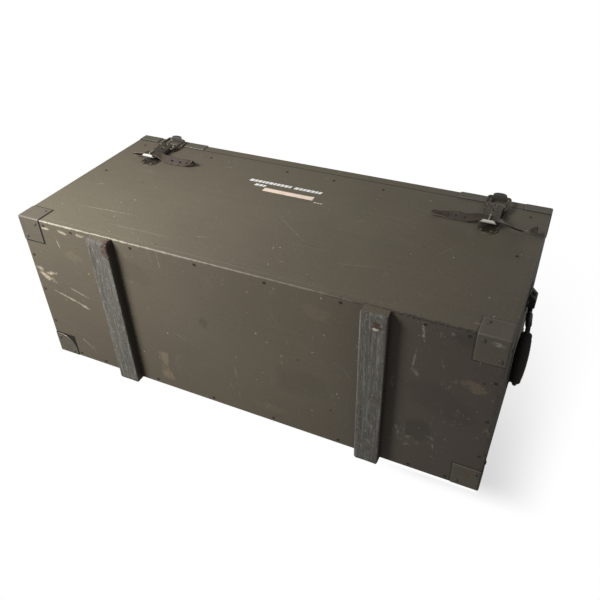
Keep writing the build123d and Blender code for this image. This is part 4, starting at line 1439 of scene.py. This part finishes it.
def floor_finish(shade):
    """Pale floor from above. From below it is clear, with a soft shade round the chest."""
    f = Finish("pale_floor")
    grain = f.noise(90, 4)
    base = f.mix(grain * 0.3, shade, scaled(shade, 0.97))
    matt = f.node("ShaderNodeBsdfPrincipled", None, {"Base Color": base, "Roughness": 0.8 + grain * 0.1,
                                                     "Specular IOR Level": 0.2})
    white = f.node("ShaderNodeEmission", None, {"Color": (1, 1, 1, 1), "Strength": 1.0})
    far = (f.x * f.x + f.y * f.y) ** 0.5
    above = f.node("ShaderNodeMixShader", None, {0: far.step(*FLOOR_FADE), 1: matt, 2: white})
    past_end = f.x - END
    past_back = f.y - BACK
    past_foot = past_back + 0.015
    away = (past_end.most(0) ** 2 + (past_foot.most(0) * 2.4) ** 2) ** 0.5
    shade_here = away.step(SHADE_REACH, 0.0) * past_end.most(past_foot).step(-0.006, 0.002) \
        * f.y.step(FRONT - 0.20, BACK - 0.03) * past_back.step(0.02, -0.06) * f.x.step(0.25, 0.36)
    clear = f.node("ShaderNodeBsdfTransparent", None, {"Color": (1, 1, 1, 1)})
    blocked = f.node("ShaderNodeBsdfTransparent", None, {"Color": (0, 0, 0, 1)})
    below = f.node("ShaderNodeMixShader", None, {0: shade_here * SHADE_STRENGTH, 1: clear, 2: blocked})
    back_side = f.node("ShaderNodeNewGeometry", output=6)
    both = f.node("ShaderNodeMixShader", None, {0: back_side, 1: above, 2: below})
    target = f.tree.nodes.new("ShaderNodeOutputMaterial")
    f.tree.links.new(both.socket, target.inputs["Surface"])
    return f.material


class FOOTLOCKER_OT_stage(bpy.types.Operator):
    """Makes the floor, the lights and the camera."""

    bl_idname = "footlocker.stage"
    bl_label = "Stage"

    def execute(self, context):
        stage = context.scene.footlocker_stage
        context.scene.view_settings.view_transform = "Standard"
        make_world(stage.fill)

        bm = bmesh.new()
        bmesh.ops.create_grid(bm, x_segments=2, y_segments=2, size=FLOOR_SIZE)
        data = bpy.data.meshes.new("floor")
        bm.to_mesh(data)
        bm.free()
        data.materials.append(floor_finish(stage.floor))
        floor = bpy.data.objects.new("floor", data)
        context.scene.collection.objects.link(floor)
        for ray in ("diffuse", "glossy", "transmission", "volume_scatter", "shadow"):
            setattr(floor, f"visible_{ray}", False)

        centre = Vector((0, MIDDLE_Y, (UNDERSIDE + TOP) / 2))
        soft_light("key", KEY_PLACE, centre + KEY_AIM, 0.6, stage.key, KEY_BEAM)
        soft_light("overhead", OVERHEAD_PLACE, centre, 1.8, stage.overhead)
        soft_light("back", BACK_PLACE, centre, 1.6, stage.back)

        camera_data = bpy.data.cameras.new("camera")
        camera_data.lens = stage.lens
        camera_data.sensor_width = 36
        camera_data.clip_start = 0.01
        camera = bpy.data.objects.new("camera", camera_data)
        context.scene.collection.objects.link(camera)
        ahead = CAMERA_AHEAD.normalized()
        right = ahead.cross(CAMERA_UP).normalized()
        up = right.cross(ahead)
        turn = Matrix((right, up, -ahead)).transposed()
        camera.matrix_world = Matrix.Translation(CAMERA_PLACE) @ turn.to_4x4()
        context.scene.camera = camera
        return {"FINISHED"}


OPERATORS = (
    FOOTLOCKER_OT_stage,
    FOOTLOCKER_OT_boards,
    FOOTLOCKER_OT_inner_wood,
    FOOTLOCKER_OT_skids,
    FOOTLOCKER_OT_corners,
    FOOTLOCKER_OT_fasteners,
    FOOTLOCKER_OT_hinges,
    FOOTLOCKER_OT_latches,
    FOOTLOCKER_OT_straps,
    FOOTLOCKER_OT_handles,
    FOOTLOCKER_OT_label,
)


class FOOTLOCKER_PT_pieces(bpy.types.Panel):
    """Lists the pieces and the settings."""

    bl_idname = "FOOTLOCKER_PT_pieces"
    bl_label = "Footlocker"
    bl_space_type = "VIEW_3D"
    bl_region_type = "UI"
    bl_category = "Footlocker"

    def draw(self, context):
        for operator in OPERATORS:
            self.layout.operator(operator.bl_idname)
        for name, group in GROUPS.items():
            box = self.layout.box()
            box.label(text=group.__name__)
            for setting in group.__annotations__:
                box.prop(getattr(context.scene, name), setting)


CLASSES = (*GROUPS.values(), *OPERATORS, FOOTLOCKER_PT_pieces)


def register():
    for made in CLASSES:
        bpy.utils.register_class(made)
    for name, group in GROUPS.items():
        setattr(bpy.types.Scene, name, PointerProperty(type=group))


def unregister():
    for name in GROUPS:
        delattr(bpy.types.Scene, name)
    for made in reversed(CLASSES):
        bpy.utils.unregister_class(made)


def main():
    register()
    for operator in OPERATORS:
        group, name = operator.bl_idname.split(".")
        getattr(getattr(bpy.ops, group), name)()


if __name__ == "__main__":
    main()
